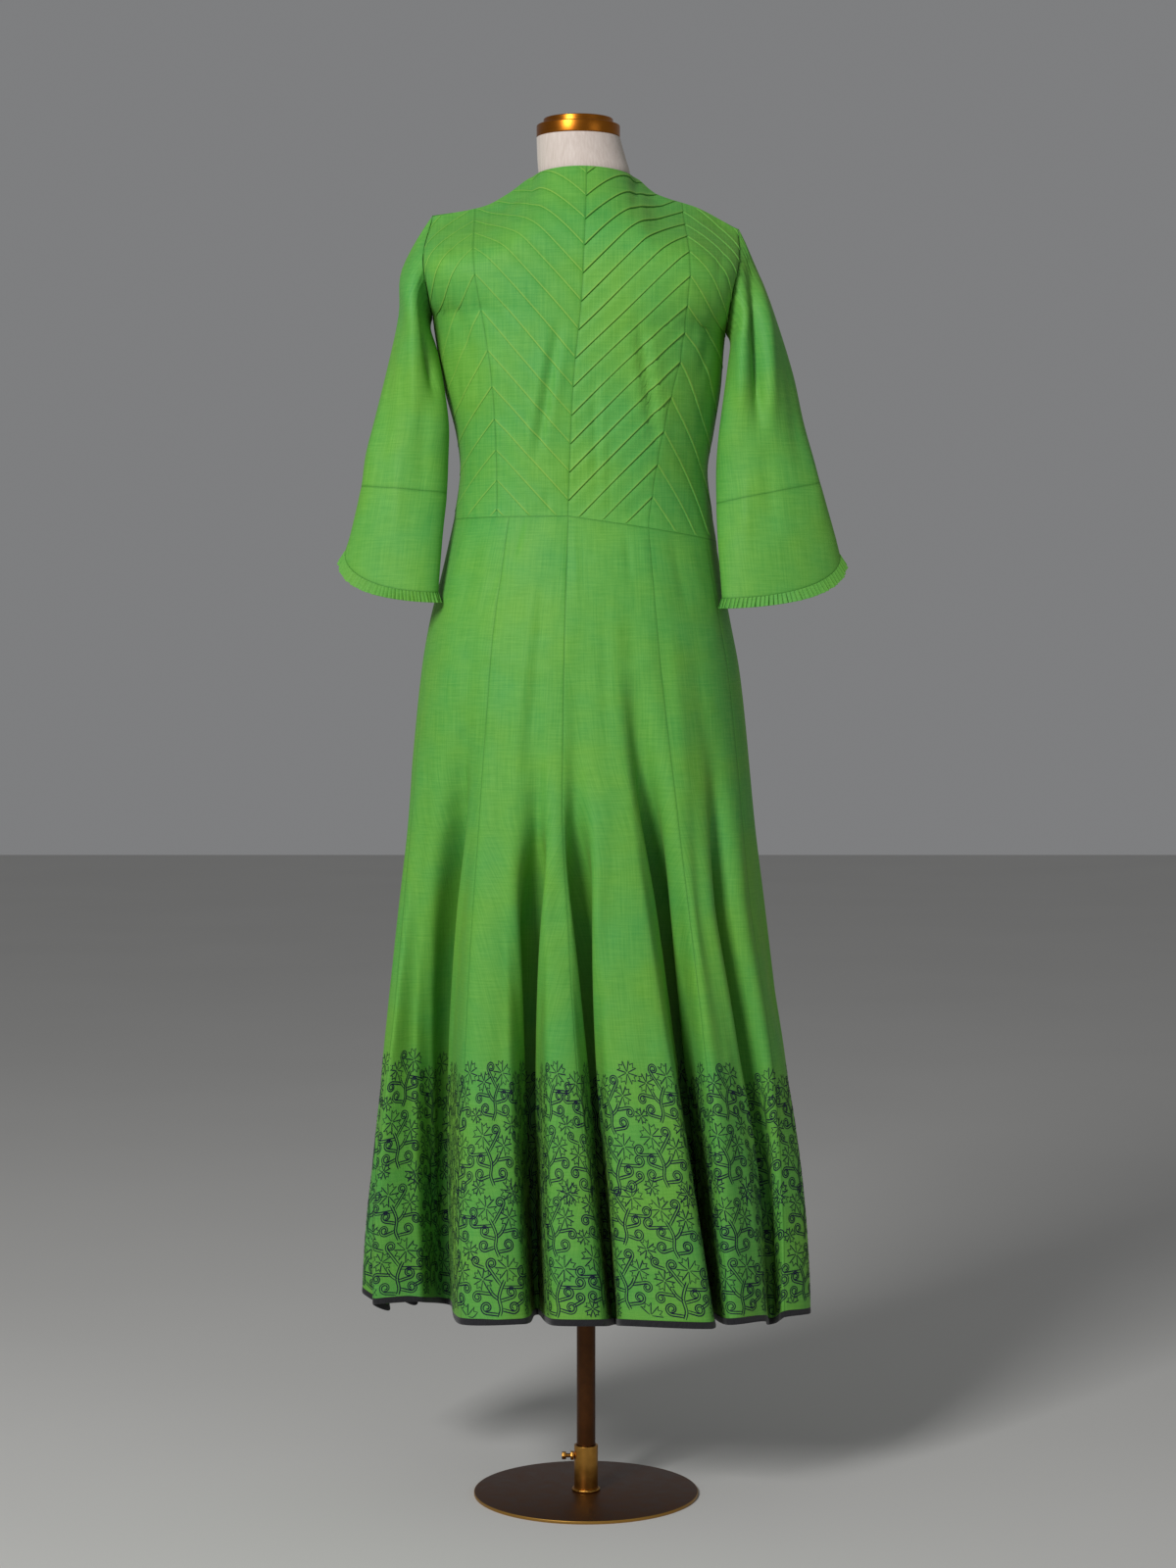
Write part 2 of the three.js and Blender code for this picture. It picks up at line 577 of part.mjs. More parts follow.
// A ring of the sleeve: a flattened tube between its inner and its outer end
function ringPoint(side, ring, angle) {
  const axis = Math.cos(angle);
  const out = (1 + axis) / 2;
  const curved = 1 - Math.sqrt(1 - out * out);
  const rise = mix(out, curved, ring.bend);
  const along = new THREE.Vector3(ring.outerX - ring.innerX, ring.outerY - ring.innerY, 0).normalize();
  const across = new THREE.Vector3(-along.y, along.x, 0).multiplyScalar(side === "left" ? -1 : 1);
  const point = new THREE.Vector3(
    mix(ring.innerX, ring.outerX, out),
    mix(ring.innerY, ring.outerY, out),
    mix(ring.innerZ, ring.outerZ, rise),
  );
  return point.addScaledVector(across, ring.half * Math.sin(angle));
}

// A closed ring's points, moved in towards the ring's middle by a depth
function ringInside(points, depth) {
  const count = points.length;
  const middle = points.reduce((sum, point) => sum.add(point), new THREE.Vector3()).divideScalar(count);
  return points.map((point, i) => {
    const along = points[(i + 1) % count].clone().sub(points[(i + count - 1) % count]).normalize();
    const inward = middle.clone().sub(point);
    inward.addScaledVector(along, -inward.dot(along)).normalize();
    return point.clone().addScaledVector(inward, depth);
  });
}

// Angles that space a ring's points evenly along its length
function evenAngles(side, ring) {
  const lengths = [0];
  let before = ringPoint(side, ring, 0);
  for (let i = 1; i <= RING_SAMPLES; i += 1) {
    const here = ringPoint(side, ring, (i / RING_SAMPLES) * 2 * Math.PI);
    lengths.push(lengths[i - 1] + here.distanceTo(before));
    before = here;
  }
  const total = lengths[RING_SAMPLES];
  return (share) => {
    const wanted = share * total;
    const above = Math.max(1, lengths.findIndex((length) => length >= wanted));
    const part = (wanted - lengths[above - 1]) / (lengths[above] - lengths[above - 1]);
    return ((above - 1 + part) / RING_SAMPLES) * 2 * Math.PI;
  };
}

function sleeveTube(rings) {
  return shell(rings, rings.map((ring) => ringInside(ring, CLOTH)), true);
}

function buildSleeve(side) {
  const table = SLEEVES[side];
  const angles = Array.from({ length: SLEEVE_STEPS }, (_, i) => (i / SLEEVE_STEPS) * 2 * Math.PI);
  const armhole = angles.map((angle) => armholePoint(side, angle));
  const rings = table.map((ring) => angles.map((angle) => ringPoint(side, ring, angle)));
  const seamShift = new THREE.Vector3(0, 0, -SEAM);
  const cuffTop = rings[CUFF_RING].map((point) => point.clone().add(seamShift));
  add(garment, `sleeve_${side}`, sleeveTube([armhole, ...rings.slice(0, CUFF_RING + 1)]), CLOTH_GREEN);
  add(garment, `cuff_${side}`, sleeveTube([cuffTop, ...rings.slice(CUFF_RING + 1)]), CLOTH_GREEN);

  const hem = table[table.length - 1];
  const above = table[table.length - 2];
  const angleAt = evenAngles(side, hem);
  const pleatAngles = [];
  for (let pleat = 0; pleat < FRILL_PLEATS; pleat += 1) {
    pleatAngles.push({ angle: angleAt(pleat / FRILL_PLEATS), out: 0 });
    pleatAngles.push({ angle: angleAt((pleat + 0.8) / FRILL_PLEATS), out: FRILL_DEPTH });
  }
  const frillRing = (down, flare, inset) =>
    pleatAngles.map(({ angle, out }) => {
      const point = ringPoint(side, hem, angle);
      const fall = point.clone().sub(ringPoint(side, above, angle)).normalize();
      const level = point.clone().setZ(0);
      const middle = new THREE.Vector3((hem.innerX + hem.outerX) / 2, (hem.innerY + hem.outerY) / 2, 0);
      const outward = level.sub(middle).normalize();
      return point.addScaledVector(fall, down).addScaledVector(outward, out + flare - inset);
    });
  const top = SEAM * 2;
  const outer = [frillRing(top, 0, 0), frillRing(FRILL_LENGTH, FRILL_FLARE, 0)];
  const inner = [frillRing(top, 0, FRILL_CLOTH), frillRing(FRILL_LENGTH, FRILL_FLARE, FRILL_CLOTH)];
  add(garment, `frill_${side}`, shell(outer, inner, true), CLOTH_GREEN);
}

// Dress form

function toSolid(geometry) {
  const bare = geometry.clone();
  bare.deleteAttribute("normal");
  bare.deleteAttribute("uv");
  const merged = mergeVertices(bare, MERGE);
  const { array } = merged.getAttribute("position");
  const mesh = new wasm.Mesh({ numProp: 3, vertProperties: array, triVerts: merged.index.array });
  return new wasm.Manifold(mesh);
}

function fromSolid(solid) {
  const mesh = solid.getMesh();
  const geometry = new THREE.BufferGeometry();
  geometry.setAttribute("position", new THREE.BufferAttribute(mesh.vertProperties, 3));
  geometry.setIndex(new THREE.BufferAttribute(mesh.triVerts, 1));
  geometry.computeVertexNormals();
  return geometry;
}

// How far the form lies under the garment's outside: it touches at the shoulders alone
function formDepth(x, z, top) {
  const fromTop = clamp((top - z) / FORM_EASE, 0, 1) ** 0.7;
  const byNeck = NECK_EASE * clamp(2 - Math.abs(x - NECK_X) / NECK_HALF_WIDTH, 0, 0.6);
  const belowWaist = Math.max(0, WAIST_TOP - z) * FORM_HIP_TAPER;
  return CLOTH + FORM_SEAT + (FORM_CLEARANCE - FORM_SEAT) * fromTop + byNeck + belowWaist;
}

function formTorso() {
  const rowCount = 13;
  const sheet = (face) =>
    Array.from({ length: rowCount + 1 }, (_, r) =>
      BODY_COLUMNS.map((share) => {
        const top = columnTop(() => share);
        const z = r === rowCount ? top : mix(FORM_BOTTOM, top, Math.sin(((r / rowCount) * Math.PI) / 2));
        const side = sideOf(share);
        const onSide = Math.abs(share) > ON_SIDE && z <= ARMHOLE[side].pit;
        const x = halfWidth(side, z) * share;
        const onShoulder = r === rowCount && Math.abs(x - NECK_X) >= NECK_HALF_WIDTH;
        const point = bodyInside(face, share, z, formDepth(x, z, top), onSide || onShoulder);
        return r === 0 ? point.setZ(FORM_BOTTOM) : point;
      }),
    );
  return shell(sheet("back"), sheet("front"));
}

function formNeck() {
  const around = 28;
  const rings = [
    { z: 1534, x: -2, y: -7, halfX: 50, halfY: 48 },
    { z: 1549, x: -2, y: -7, halfX: 53, halfY: 50 },
    { z: 1566, x: -5, y: -4, halfX: 51.5, halfY: 50 },
    { z: NECK_TOP, x: CAP.x, y: 0, halfX: 48.5, halfY: 48.5 },
  ];
  const circle = rings.map((ring) =>
    Array.from({ length: around }, (_, i) => {
      const angle = (i / around) * 2 * Math.PI;
      return new THREE.Vector3(
        ring.x + ring.halfX * Math.cos(angle),
        ring.y + ring.halfY * Math.sin(angle),
        ring.z,
      );
    }),
  );
  const middles = rings.map((ring) => Array(around).fill(new THREE.Vector3(ring.x, ring.y, ring.z)));
  return shell(circle, middles, true);
}

function buildForm() {
  const body = toSolid(formTorso()).add(toSolid(formNeck()));
  add(stand, "form_body", fromSolid(body), CREAM_COVER);
  const edge = CAP.lip;
  const top = CAP.bandHeight + CAP.discHeight;
  const outline = [
    [0, 0],
    [CAP.band, 0],
    [CAP.band, CAP.bandHeight - edge],
    [CAP.band - edge, CAP.bandHeight],
    [CAP.disc, CAP.bandHeight],
    [CAP.disc, top - edge],
    [CAP.disc - edge, top],
    [0, top],
  ];
  const cap = add(stand, "neck_cap", turned(outline, 32), BRASS);
  cap.position.set(CAP.x, 0, NECK_TOP + SEAM);
}

// A turned piece on the Z axis from an outline of radius and height
function turned(outline, segments) {
  const points = outline.map(([radius, height]) => new THREE.Vector2(radius, height));
  return new THREE.LatheGeometry(points, segments).rotateX(Math.PI / 2);
}

// Stand: pole, socket with its set screw and lock nut, and the round base
function buildStand() {
  const poleBottom = BASE.thick + SEAM;
  const poleLength = FORM_BOTTOM - SEAM - poleBottom;
  const pole = new THREE.CylinderGeometry(POLE_RADIUS, POLE_RADIUS, poleLength, 28).rotateX(Math.PI / 2);
  add(stand, "pole", pole, BRONZE).position.set(0, 0, poleBottom + poleLength / 2);

  const height = SOCKET.height;
  const outline = [
    [SOCKET.inner, 0],
    [SOCKET.outer + SOCKET.weld, 0],
    [SOCKET.outer + SOCKET.weld * 0.4, SOCKET.weld * 0.4],
    [SOCKET.outer, SOCKET.weld],
    [SOCKET.outer, height],
    [SOCKET.inner, height],
    [SOCKET.inner, 0],
  ];
  const hole = new THREE.CylinderGeometry(SCREW.radius + SEAM, SCREW.radius + SEAM, 8, 16);
  hole.rotateZ(Math.PI / 2).translate(-(SOCKET.inner + SOCKET.outer) / 2, 0, SCREW.z - poleBottom);
  const socket = toSolid(turned(outline, 32)).subtract(toSolid(hole));
  add(stand, "socket", fromSolid(socket), BRASS).position.set(0, 0, poleBottom);

  const tip = -(POLE_RADIUS + SEAM);
  const profile = [
    [0, 0],
    [SCREW.radius, 0],
    [SCREW.radius, SCREW.length - SCREW.headLength],
    [SCREW.headRadius, SCREW.length - SCREW.headLength],
    [SCREW.headRadius, SCREW.length],
    [0, SCREW.length],
  ];
  const screw = turned(profile, 12).rotateY(-Math.PI / 2);
  add(stand, "set_screw", screw, BRASS).position.set(tip, 0, SCREW.z);
  const nutBore = (SCREW.radius + SEAM) / Math.cos(Math.PI / 6);
  const nutProfile = [
    [nutBore, 0],
    [LOCK_NUT.radius, 0],
    [LOCK_NUT.radius, LOCK_NUT.length],
    [nutBore, LOCK_NUT.length],
    [nutBore, 0],
  ];
  const nut = turned(nutProfile, 6).rotateY(-Math.PI / 2);
  add(stand, "lock_nut", nut, BRASS).position.set(-(SOCKET.outer + SEAM), 0, SCREW.z);

  const bevel = BASE.bevel;
  const plate = [
    [0, 0],
    [BASE.radius - bevel, 0],
    [BASE.radius, bevel],
    [BASE.radius, BASE.thick - bevel],
    [BASE.radius - bevel, BASE.thick],
    [0, BASE.thick],
  ];
  add(stand, "base_plate", turned(plate, 48), BRONZE);
}

buildBack();
buildFront();
buildSkirt();
buildSleeve("left");
buildSleeve("right");
buildForm();
buildStand();

const kurti = new THREE.Group();
kurti.add(garment, stand);
export default kurti;
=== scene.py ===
# Long kurti on a limbless dress form, seen from behind as it hangs for display. The stand is made
# first, then the form on it, then the kurti from the shoulders down. Blender works in metres.
# The kurti's own sizes are kept in millimetres, as a maker writes them, and MM turns them.
import math

import bmesh
import bpy
import numpy as np
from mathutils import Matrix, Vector


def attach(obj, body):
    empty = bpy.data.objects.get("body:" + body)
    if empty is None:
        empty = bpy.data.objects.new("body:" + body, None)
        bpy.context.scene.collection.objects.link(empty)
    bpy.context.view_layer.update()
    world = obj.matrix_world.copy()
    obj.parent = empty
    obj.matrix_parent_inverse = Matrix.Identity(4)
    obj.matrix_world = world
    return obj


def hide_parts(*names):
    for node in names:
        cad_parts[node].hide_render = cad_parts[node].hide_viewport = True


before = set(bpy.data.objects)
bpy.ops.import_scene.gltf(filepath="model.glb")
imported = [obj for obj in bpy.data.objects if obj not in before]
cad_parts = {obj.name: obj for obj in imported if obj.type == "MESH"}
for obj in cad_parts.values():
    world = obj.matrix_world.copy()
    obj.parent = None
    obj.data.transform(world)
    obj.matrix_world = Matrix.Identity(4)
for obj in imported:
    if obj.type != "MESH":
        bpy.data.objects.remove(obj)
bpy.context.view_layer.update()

MM = 0.001


# Camera. A long lens at chest height, level with the middle of the kurti and turned a little down,
# so that the back is seen almost square on.
CAMERA_PLACE = (0.0023, -3.560, 0.981)
CAMERA_DOWN = 2.27
LENS = 69.75

camera_data = bpy.data.cameras.new("camera")
camera_data.lens = LENS
camera_data.clip_end = 50
camera = bpy.data.objects.new("camera", camera_data)
camera.location = CAMERA_PLACE
camera.rotation_euler = (math.radians(90 - CAMERA_DOWN), 0, 0)
bpy.context.scene.collection.objects.link(camera)
bpy.context.scene.camera = camera


# Base disc. A round of steel plate, 265 mm across, its edge eased, sprayed with dark bronze lacquer.
# The lacquer has worn to a thin golden line along the rim, where the disc is knocked and carried.
BASE_RADIUS = 0.1325
BASE_THICK = 0.0037
RIM_WEAR = (BASE_RADIUS - 0.0011, BASE_RADIUS - 0.0003)
SHARP_EDGE = 35


def srgb(hex_colour):
    """A hex colour as the eye reads it, turned to the linear values that a shader needs."""
    parts = [int(hex_colour[i : i + 2], 16) / 255 for i in (1, 3, 5)]
    linear = [part / 12.92 if part <= 0.04045 else ((part + 0.055) / 1.055) ** 2.4 for part in parts]
    return (*linear, 1)


def add_node(tree, kind, inputs, **settings):
    """Adds a shader node. Each input takes a plain value or another node's output."""
    made = tree.nodes.new("ShaderNode" + kind)
    for name, value in settings.items():
        setattr(made, name, value)
    for name, value in inputs.items():
        if isinstance(value, bpy.types.NodeSocket):
            tree.links.new(value, made.inputs[name])
        else:
            made.inputs[name].default_value = value
    return made


def empty_material(name):
    material = bpy.data.materials.new(name)
    material.use_nodes = True
    material.node_tree.nodes.clear()
    return material, material.node_tree


def select_only(piece):
    bpy.ops.object.select_all(action="DESELECT")
    piece.select_set(True)
    bpy.context.view_layer.objects.active = piece


def ease_edges(piece, width, segments=3):
    """Rounds a hard piece's sharp edges."""
    select_only(piece)
    bevel = piece.modifiers.new("eased edges", "BEVEL")
    bevel.width = width
    bevel.segments = segments
    bevel.limit_method = "ANGLE"
    bevel.angle_limit = math.radians(SHARP_EDGE)
    bpy.ops.object.modifier_apply(modifier=bevel.name)


def finish_hard_piece(piece, name, material, slot, *nodes):
    """Leaves a finished hard piece at the origin, with its place in its mesh, and fastens it to the frame."""
    piece.name = name
    select_only(piece)
    bpy.ops.object.transform_apply(location=True, rotation=True, scale=True)
    bpy.ops.object.shade_smooth_by_angle(angle=math.radians(SHARP_EDGE))
    piece.data.materials.clear()
    piece.data.materials.append(material)
    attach(piece, "root")
    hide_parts(*nodes)


# Bronze lacquer, sprayed on steel: a satin brown with a metal glint, mottled by age
bronze_lacquer, tree = empty_material("bronze lacquer")
place = add_node(tree, "TexCoord", {}).outputs["Object"]
mottle = add_node(tree, "TexNoise", {"Vector": place, "Scale": 55, "Detail": 5, "Roughness": 0.6})
scratch_space = add_node(tree, "Mapping", {"Vector": place, "Scale": (900, 900, 25)})
scratches = add_node(tree, "TexNoise", {"Vector": scratch_space.outputs[0], "Scale": 1, "Detail": 2})
brown = add_node(
    tree,
    "Mix",
    {0: mottle.outputs["Fac"], 6: srgb("#2C1608"), 7: srgb("#643B16")},
    data_type="RGBA",
)
flat_place = add_node(tree, "VectorMath", {0: place, 1: (1, 1, 0)}, operation="MULTIPLY")
from_axis = add_node(tree, "VectorMath", {0: flat_place.outputs[0]}, operation="LENGTH")
rim_wear = add_node(
    tree,
    "MapRange",
    {
        "Value": from_axis.outputs["Value"],
        "From Min": RIM_WEAR[0],
        "From Max": RIM_WEAR[1],
    },
)
worn = add_node(
    tree,
    "Mix",
    {0: rim_wear.outputs[0], 6: brown.outputs[2], 7: srgb("#A27A38")},
    data_type="RGBA",
)
uneven_gloss = add_node(tree, "MapRange", {"Value": mottle.outputs["Fac"], "To Min": 0.34, "To Max": 0.56})
grain = add_node(
    tree,
    "Bump",
    {"Height": scratches.outputs["Fac"], "Strength": 0.12, "Distance": 0.0003},
)
shader = add_node(
    tree,
    "BsdfPrincipled",
    {
        "Base Color": worn.outputs[2],
        "Metallic": 0.75,
        "Roughness": uneven_gloss.outputs[0],
        "Normal": grain.outputs[0],
    },
)
add_node(tree, "OutputMaterial", {"Surface": shader.outputs["BSDF"]})

bpy.ops.object.select_all(action="DESELECT")
bpy.ops.mesh.primitive_cylinder_add(
    vertices=160, radius=BASE_RADIUS, depth=BASE_THICK, location=(0, 0, BASE_THICK / 2)
)
base_disc = bpy.context.object
ease_edges(base_disc, 0.0008)
finish_hard_piece(base_disc, "base_disc", bronze_lacquer, "bronze_stand", "base_plate")


# Pole. A 22 mm steel tube, lacquered as the disc is, that runs from the socket to the form's underside.
POLE_RADIUS = 0.011
POLE_BOTTOM = 0.0040
POLE_TOP = 0.8847

bpy.ops.object.select_all(action="DESELECT")
bpy.ops.mesh.primitive_cylinder_add(
    vertices=64,
    radius=POLE_RADIUS,
    depth=POLE_TOP - POLE_BOTTOM,
    location=(0, 0, (POLE_TOP + POLE_BOTTOM) / 2),
)
pole_tube = bpy.context.object
ease_edges(pole_tube, 0.0006)
finish_hard_piece(pole_tube, "pole_tube", bronze_lacquer, "bronze_stand", "pole")


# Socket. A short brass-coloured tube, welded upright to the disc, that the pole drops into. Its open
# end shows the wall of the tube, and a rippled bead of weld runs round its foot.
SOCKET_RADIUS = 0.014
SOCKET_WALL = 0.0026
SOCKET_FOOT = 0.0040
SOCKET_HEIGHT = 0.054
WELD_RADIUS = 0.0019


def select_faces(piece, wanted):
    """Selects the faces that pass a test, in edit mode."""
    mesh = bmesh.from_edit_mesh(piece.data)
    for face in mesh.faces:
        face.select_set(wanted(face))
    bmesh.update_edit_mesh(piece.data)


# Aged brass lacquer over turned steel: warm, satin, darker where hands and dust have dulled it
aged_brass, tree = empty_material("aged brass lacquer")
place = add_node(tree, "TexCoord", {}).outputs["Object"]
turning_space = add_node(tree, "Mapping", {"Vector": place, "Scale": (40, 40, 2600)})
turning = add_node(tree, "TexNoise", {"Vector": turning_space.outputs[0], "Scale": 1, "Detail": 3})
dulling = add_node(tree, "TexNoise", {"Vector": place, "Scale": 90, "Detail": 4})
brass_colour = add_node(
    tree,
    "Mix",
    {0: dulling.outputs["Fac"], 6: srgb("#8F6326"), 7: srgb("#D09B4C")},
    data_type="RGBA",
)
brushed = add_node(tree, "Bump", {"Height": turning.outputs["Fac"], "Strength": 0.2, "Distance": 0.0002})
brass_gloss = add_node(tree, "MapRange", {"Value": turning.outputs["Fac"], "To Min": 0.25, "To Max": 0.45})
shader = add_node(
    tree,
    "BsdfPrincipled",
    {
        "Base Color": brass_colour.outputs[2],
        "Metallic": 1.0,
        "Roughness": brass_gloss.outputs[0],
        "Normal": brushed.outputs[0],
    },
)
add_node(tree, "OutputMaterial", {"Surface": shader.outputs["BSDF"]})

bpy.ops.object.select_all(action="DESELECT")
bpy.ops.mesh.primitive_cylinder_add(
    vertices=72,
    radius=SOCKET_RADIUS,
    depth=SOCKET_HEIGHT,
    location=(0, 0, SOCKET_FOOT + SOCKET_HEIGHT / 2),
)
socket_tube = bpy.context.object
bpy.ops.object.mode_set(mode="EDIT")
bpy.ops.mesh.select_mode(type="FACE")
select_faces(socket_tube, lambda face: face.normal.z > 0.9)
bpy.ops.mesh.inset(thickness=SOCKET_WALL)
bpy.ops.mesh.extrude_region_move(TRANSFORM_OT_translate={"value": (0, 0, -SOCKET_HEIGHT / 2)})
bpy.ops.object.mode_set(mode="OBJECT")
ease_edges(socket_tube, 0.0005)

bpy.ops.object.select_all(action="DESELECT")
bpy.ops.mesh.primitive_torus_add(
    major_segments=96,
    minor_segments=12,
    major_radius=SOCKET_RADIUS + WELD_RADIUS * 0.5,
    minor_radius=WELD_RADIUS,
    location=(0, 0, SOCKET_FOOT + WELD_RADIUS * 0.7),
)
weld_bead = bpy.context.object
ripple = bpy.data.textures.new("weld ripple", "CLOUDS")
ripple.noise_scale = 0.0035
rippled = weld_bead.modifiers.new("ripple", "DISPLACE")
rippled.texture = ripple
rippled.strength = 0.0012
bpy.ops.object.modifier_apply(modifier=rippled.name)
socket_tube.select_set(True)
bpy.context.view_layer.objects.active = socket_tube
bpy.ops.object.join()
finish_hard_piece(socket_tube, "socket_tube", aged_brass, "brass_fittings", "socket")


# Set screw and lock nut. A hexagon-headed brass screw goes through the socket's wall and clamps the
# pole. The nut is run up against the socket to keep the screw tight. Both are 45 mm above the floor.
SCREW_HEIGHT = 0.045
SCREW_TIP = -0.0113
SCREW_LENGTH = 0.017
SCREW_RADIUS = 0.0023
SCREW_HEAD = (0.0049, 0.0045)
THREAD_PITCH = 0.0008
THREAD_TURNS = 14
NUT_SIZE = (0.0056, 0.0040)
NUT_FACE = -0.0143


def add_along_x(vertices, radius, start, length):
    """A cylinder that lies along X at the screw's height, from start towards -X."""
    bpy.ops.object.select_all(action="DESELECT")
    bpy.ops.mesh.primitive_cylinder_add(
        vertices=vertices,
        radius=radius,
        depth=length,
        location=(start - length / 2, 0, SCREW_HEIGHT),
        rotation=(0, math.radians(90), 0),
    )
    return bpy.context.object


screw_shaft = add_along_x(32, SCREW_RADIUS, SCREW_TIP, SCREW_LENGTH - SCREW_HEAD[1])
screw_head = add_along_x(6, SCREW_HEAD[0], SCREW_TIP - SCREW_LENGTH + SCREW_HEAD[1], SCREW_HEAD[1])
bpy.ops.object.mode_set(mode="EDIT")
bpy.ops.mesh.select_mode(type="FACE")
select_faces(screw_head, lambda face: abs(face.normal.z) > 0.9)
bpy.ops.mesh.inset(thickness=0.0008, depth=0.0003)
bpy.ops.object.mode_set(mode="OBJECT")
ease_edges(screw_head, 0.0004)
bpy.ops.object.select_all(action="DESELECT")
bpy.ops.mesh.primitive_torus_add(
    major_segments=40,
    minor_segments=6,
    major_radius=SCREW_RADIUS,
    minor_radius=THREAD_PITCH * 0.4,
    location=(SCREW_TIP - THREAD_PITCH, 0, SCREW_HEIGHT),
    rotation=(0, math.radians(90), 0),
)
screw_thread = bpy.context.object
bpy.ops.object.transform_apply(location=False, rotation=True, scale=False)
turns = screw_thread.modifiers.new("turns", "ARRAY")
turns.use_relative_offset = False
turns.use_constant_offset = True
turns.constant_offset_displace = (-THREAD_PITCH, 0, 0)
turns.count = THREAD_TURNS
bpy.ops.object.modifier_apply(modifier=turns.name)
for piece in (screw_shaft, screw_head):
    piece.select_set(True)
bpy.context.view_layer.objects.active = screw_shaft
bpy.ops.object.join()
finish_hard_piece(screw_shaft, "clamp_screw", aged_brass, "brass_fittings", "set_screw")

jam_nut = add_along_x(6, NUT_SIZE[0], NUT_FACE, NUT_SIZE[1])
ease_edges(jam_nut, 0.0006)
finish_hard_piece(jam_nut, "jam_nut", aged_brass, "brass_fittings", "lock_nut")


# Dress form. A moulded torso without arms or head, covered in a cream cotton jersey that is pulled
# tight and glued, so it shows no folds. It fills the kurti down to the hips and ends flat, where the
# pole goes in. Its neck leans a little to the left and is cut level for the cap.
WAIST_TOP = 1150
FORM_BOTTOM = 885
FORM_CLEARANCE = 8
FORM_SEAT = 0.6
FORM_EASE = 36
NECK_EASE = 8
FORM_HIP_TAPER = 0.03
CLOTH = 1.5
SECTION_FULLNESS = 2.4
SHOULDER_ROUND = 85
SHOULDER_LINE_Y = -6
NECK_X = -2
NECK_HALF_WIDTH = 57
NECK_BACK_DEPTH = 56
NECK_FRONT_DEPTH = 50
SHOULDER_GUESS = 1500
SHOULDER_TIP_LEFT = -175
SHOULDER_TIP_RIGHT = 176
BACK = -1
FRONT = 1

# The body that the form and the bodice share: height, half-width left and right, depth back and front
BODY_SIZES = (
    (1110, 159, 149, 101, 99),
    (1150, 154, 148, 98, 97),
    (1205, 147, 142, 101, 103),
    (1250, 152, 149, 105, 112),
    (1300, 165, 157, 109, 122),
    (1350, 174, 161, 112, 124),
    (1400, 181, 167, 113, 116),
    (1450, 187, 177, 108, 104),
    (1510, 176, 176, 96, 92),
)
# The skirt's cone below the waist, in the same columns
SKIRT_SIZES = (
    (1150, 154, 148, 98, 97),
    (1090, 168, 158, 112, 106),
    (1030, 183, 169, 122, 112),
    (970, 193, 180, 128, 116),
    (860, 204, 192, 131, 122),
    (770, 211, 200, 132, 130),
    (650, 223, 213, 133, 140),
    (540, 234, 226, 133, 148),
    (420, 243, 241, 134, 156),
    (219, 262, 262, 134, 166),
)
# The shoulder seam's height across the body
SHOULDER_HEIGHTS = (
    (-190, 1500),
    (-173, 1502),
    (-140, 1507),
    (-113, 1514),
    (-90, 1527),
    (-58, 1547),
    (56, 1545),
    (80, 1527),
    (130, 1510),
    (157, 1496),
    (176, 1486),
    (192, 1482),
)
# Armholes: the height under the arm on each side, and how far the edge bows to back and front
ARMPIT_LEFT = 1385
ARMPIT_RIGHT = 1366
ARMHOLE_BACK = 62
ARMHOLE_FRONT = 58


def smooth_step(start, end, leaving, arriving, t):
    """A smooth curve from start to end, with its slopes at both ends."""
    first = (1 + 2 * t) * (1 - t) ** 2 * start + t * (1 - t) ** 2 * leaving
    return first + t * t * (3 - 2 * t) * end - t * t * (1 - t) * arriving


def reader(rows, column):
    """A smooth curve through one column of a table, to be read at any place along its first column."""
    rows = sorted(rows)
    places = np.array([row[0] for row in rows], float)
    values = np.array([row[column] for row in rows], float)
    slopes = np.gradient(values, places)
    slopes[1:-1] = (values[2:] - values[:-2]) / (places[2:] - places[:-2])

    def read(place):
        at = np.clip(place, places[0], places[-1])
        i = np.clip(np.searchsorted(places, at, side="right") - 1, 0, len(places) - 2)
        span = places[i + 1] - places[i]
        t = (at - places[i]) / span
        return smooth_step(values[i], values[i + 1], span * slopes[i], span * slopes[i + 1], t)

    return read


body_left, body_right, body_back, body_front = (reader(BODY_SIZES, column) for column in (1, 2, 3, 4))
cone_left, cone_right, cone_back, cone_front = (reader(SKIRT_SIZES, column) for column in (1, 2, 3, 4))
shoulder_height = reader(SHOULDER_HEIGHTS, 1)


def half_width(is_left, z):
    bodice = np.where(is_left, body_left(z), body_right(z))
    cone = np.where(is_left, cone_left(z), cone_right(z))
    return np.where(z < WAIST_TOP, cone, bodice)


def depth_at(face, z):
    bodice, cone = (body_back, cone_back) if face == BACK else (body_front, cone_front)
    return np.where(z < WAIST_TOP, cone(z), bodice(z))


def section_round(share):
    return np.sqrt(np.maximum(0, 1 - np.abs(share) ** SECTION_FULLNESS))


def armhole_bow(face, is_left, z):
    """How far an armhole's edge bows to back or front of the side seam's line."""
    pit = np.where(is_left, ARMPIT_LEFT, ARMPIT_RIGHT)
    tip = np.where(is_left, shoulder_height(SHOULDER_TIP_LEFT), shoulder_height(SHOULDER_TIP_RIGHT))
    up = np.clip((z - pit) / (tip - pit), 0, 1)
    return face * (ARMHOLE_BACK if face == BACK else ARMHOLE_FRONT) * np.abs(np.sin(np.pi * up)) ** 0.6


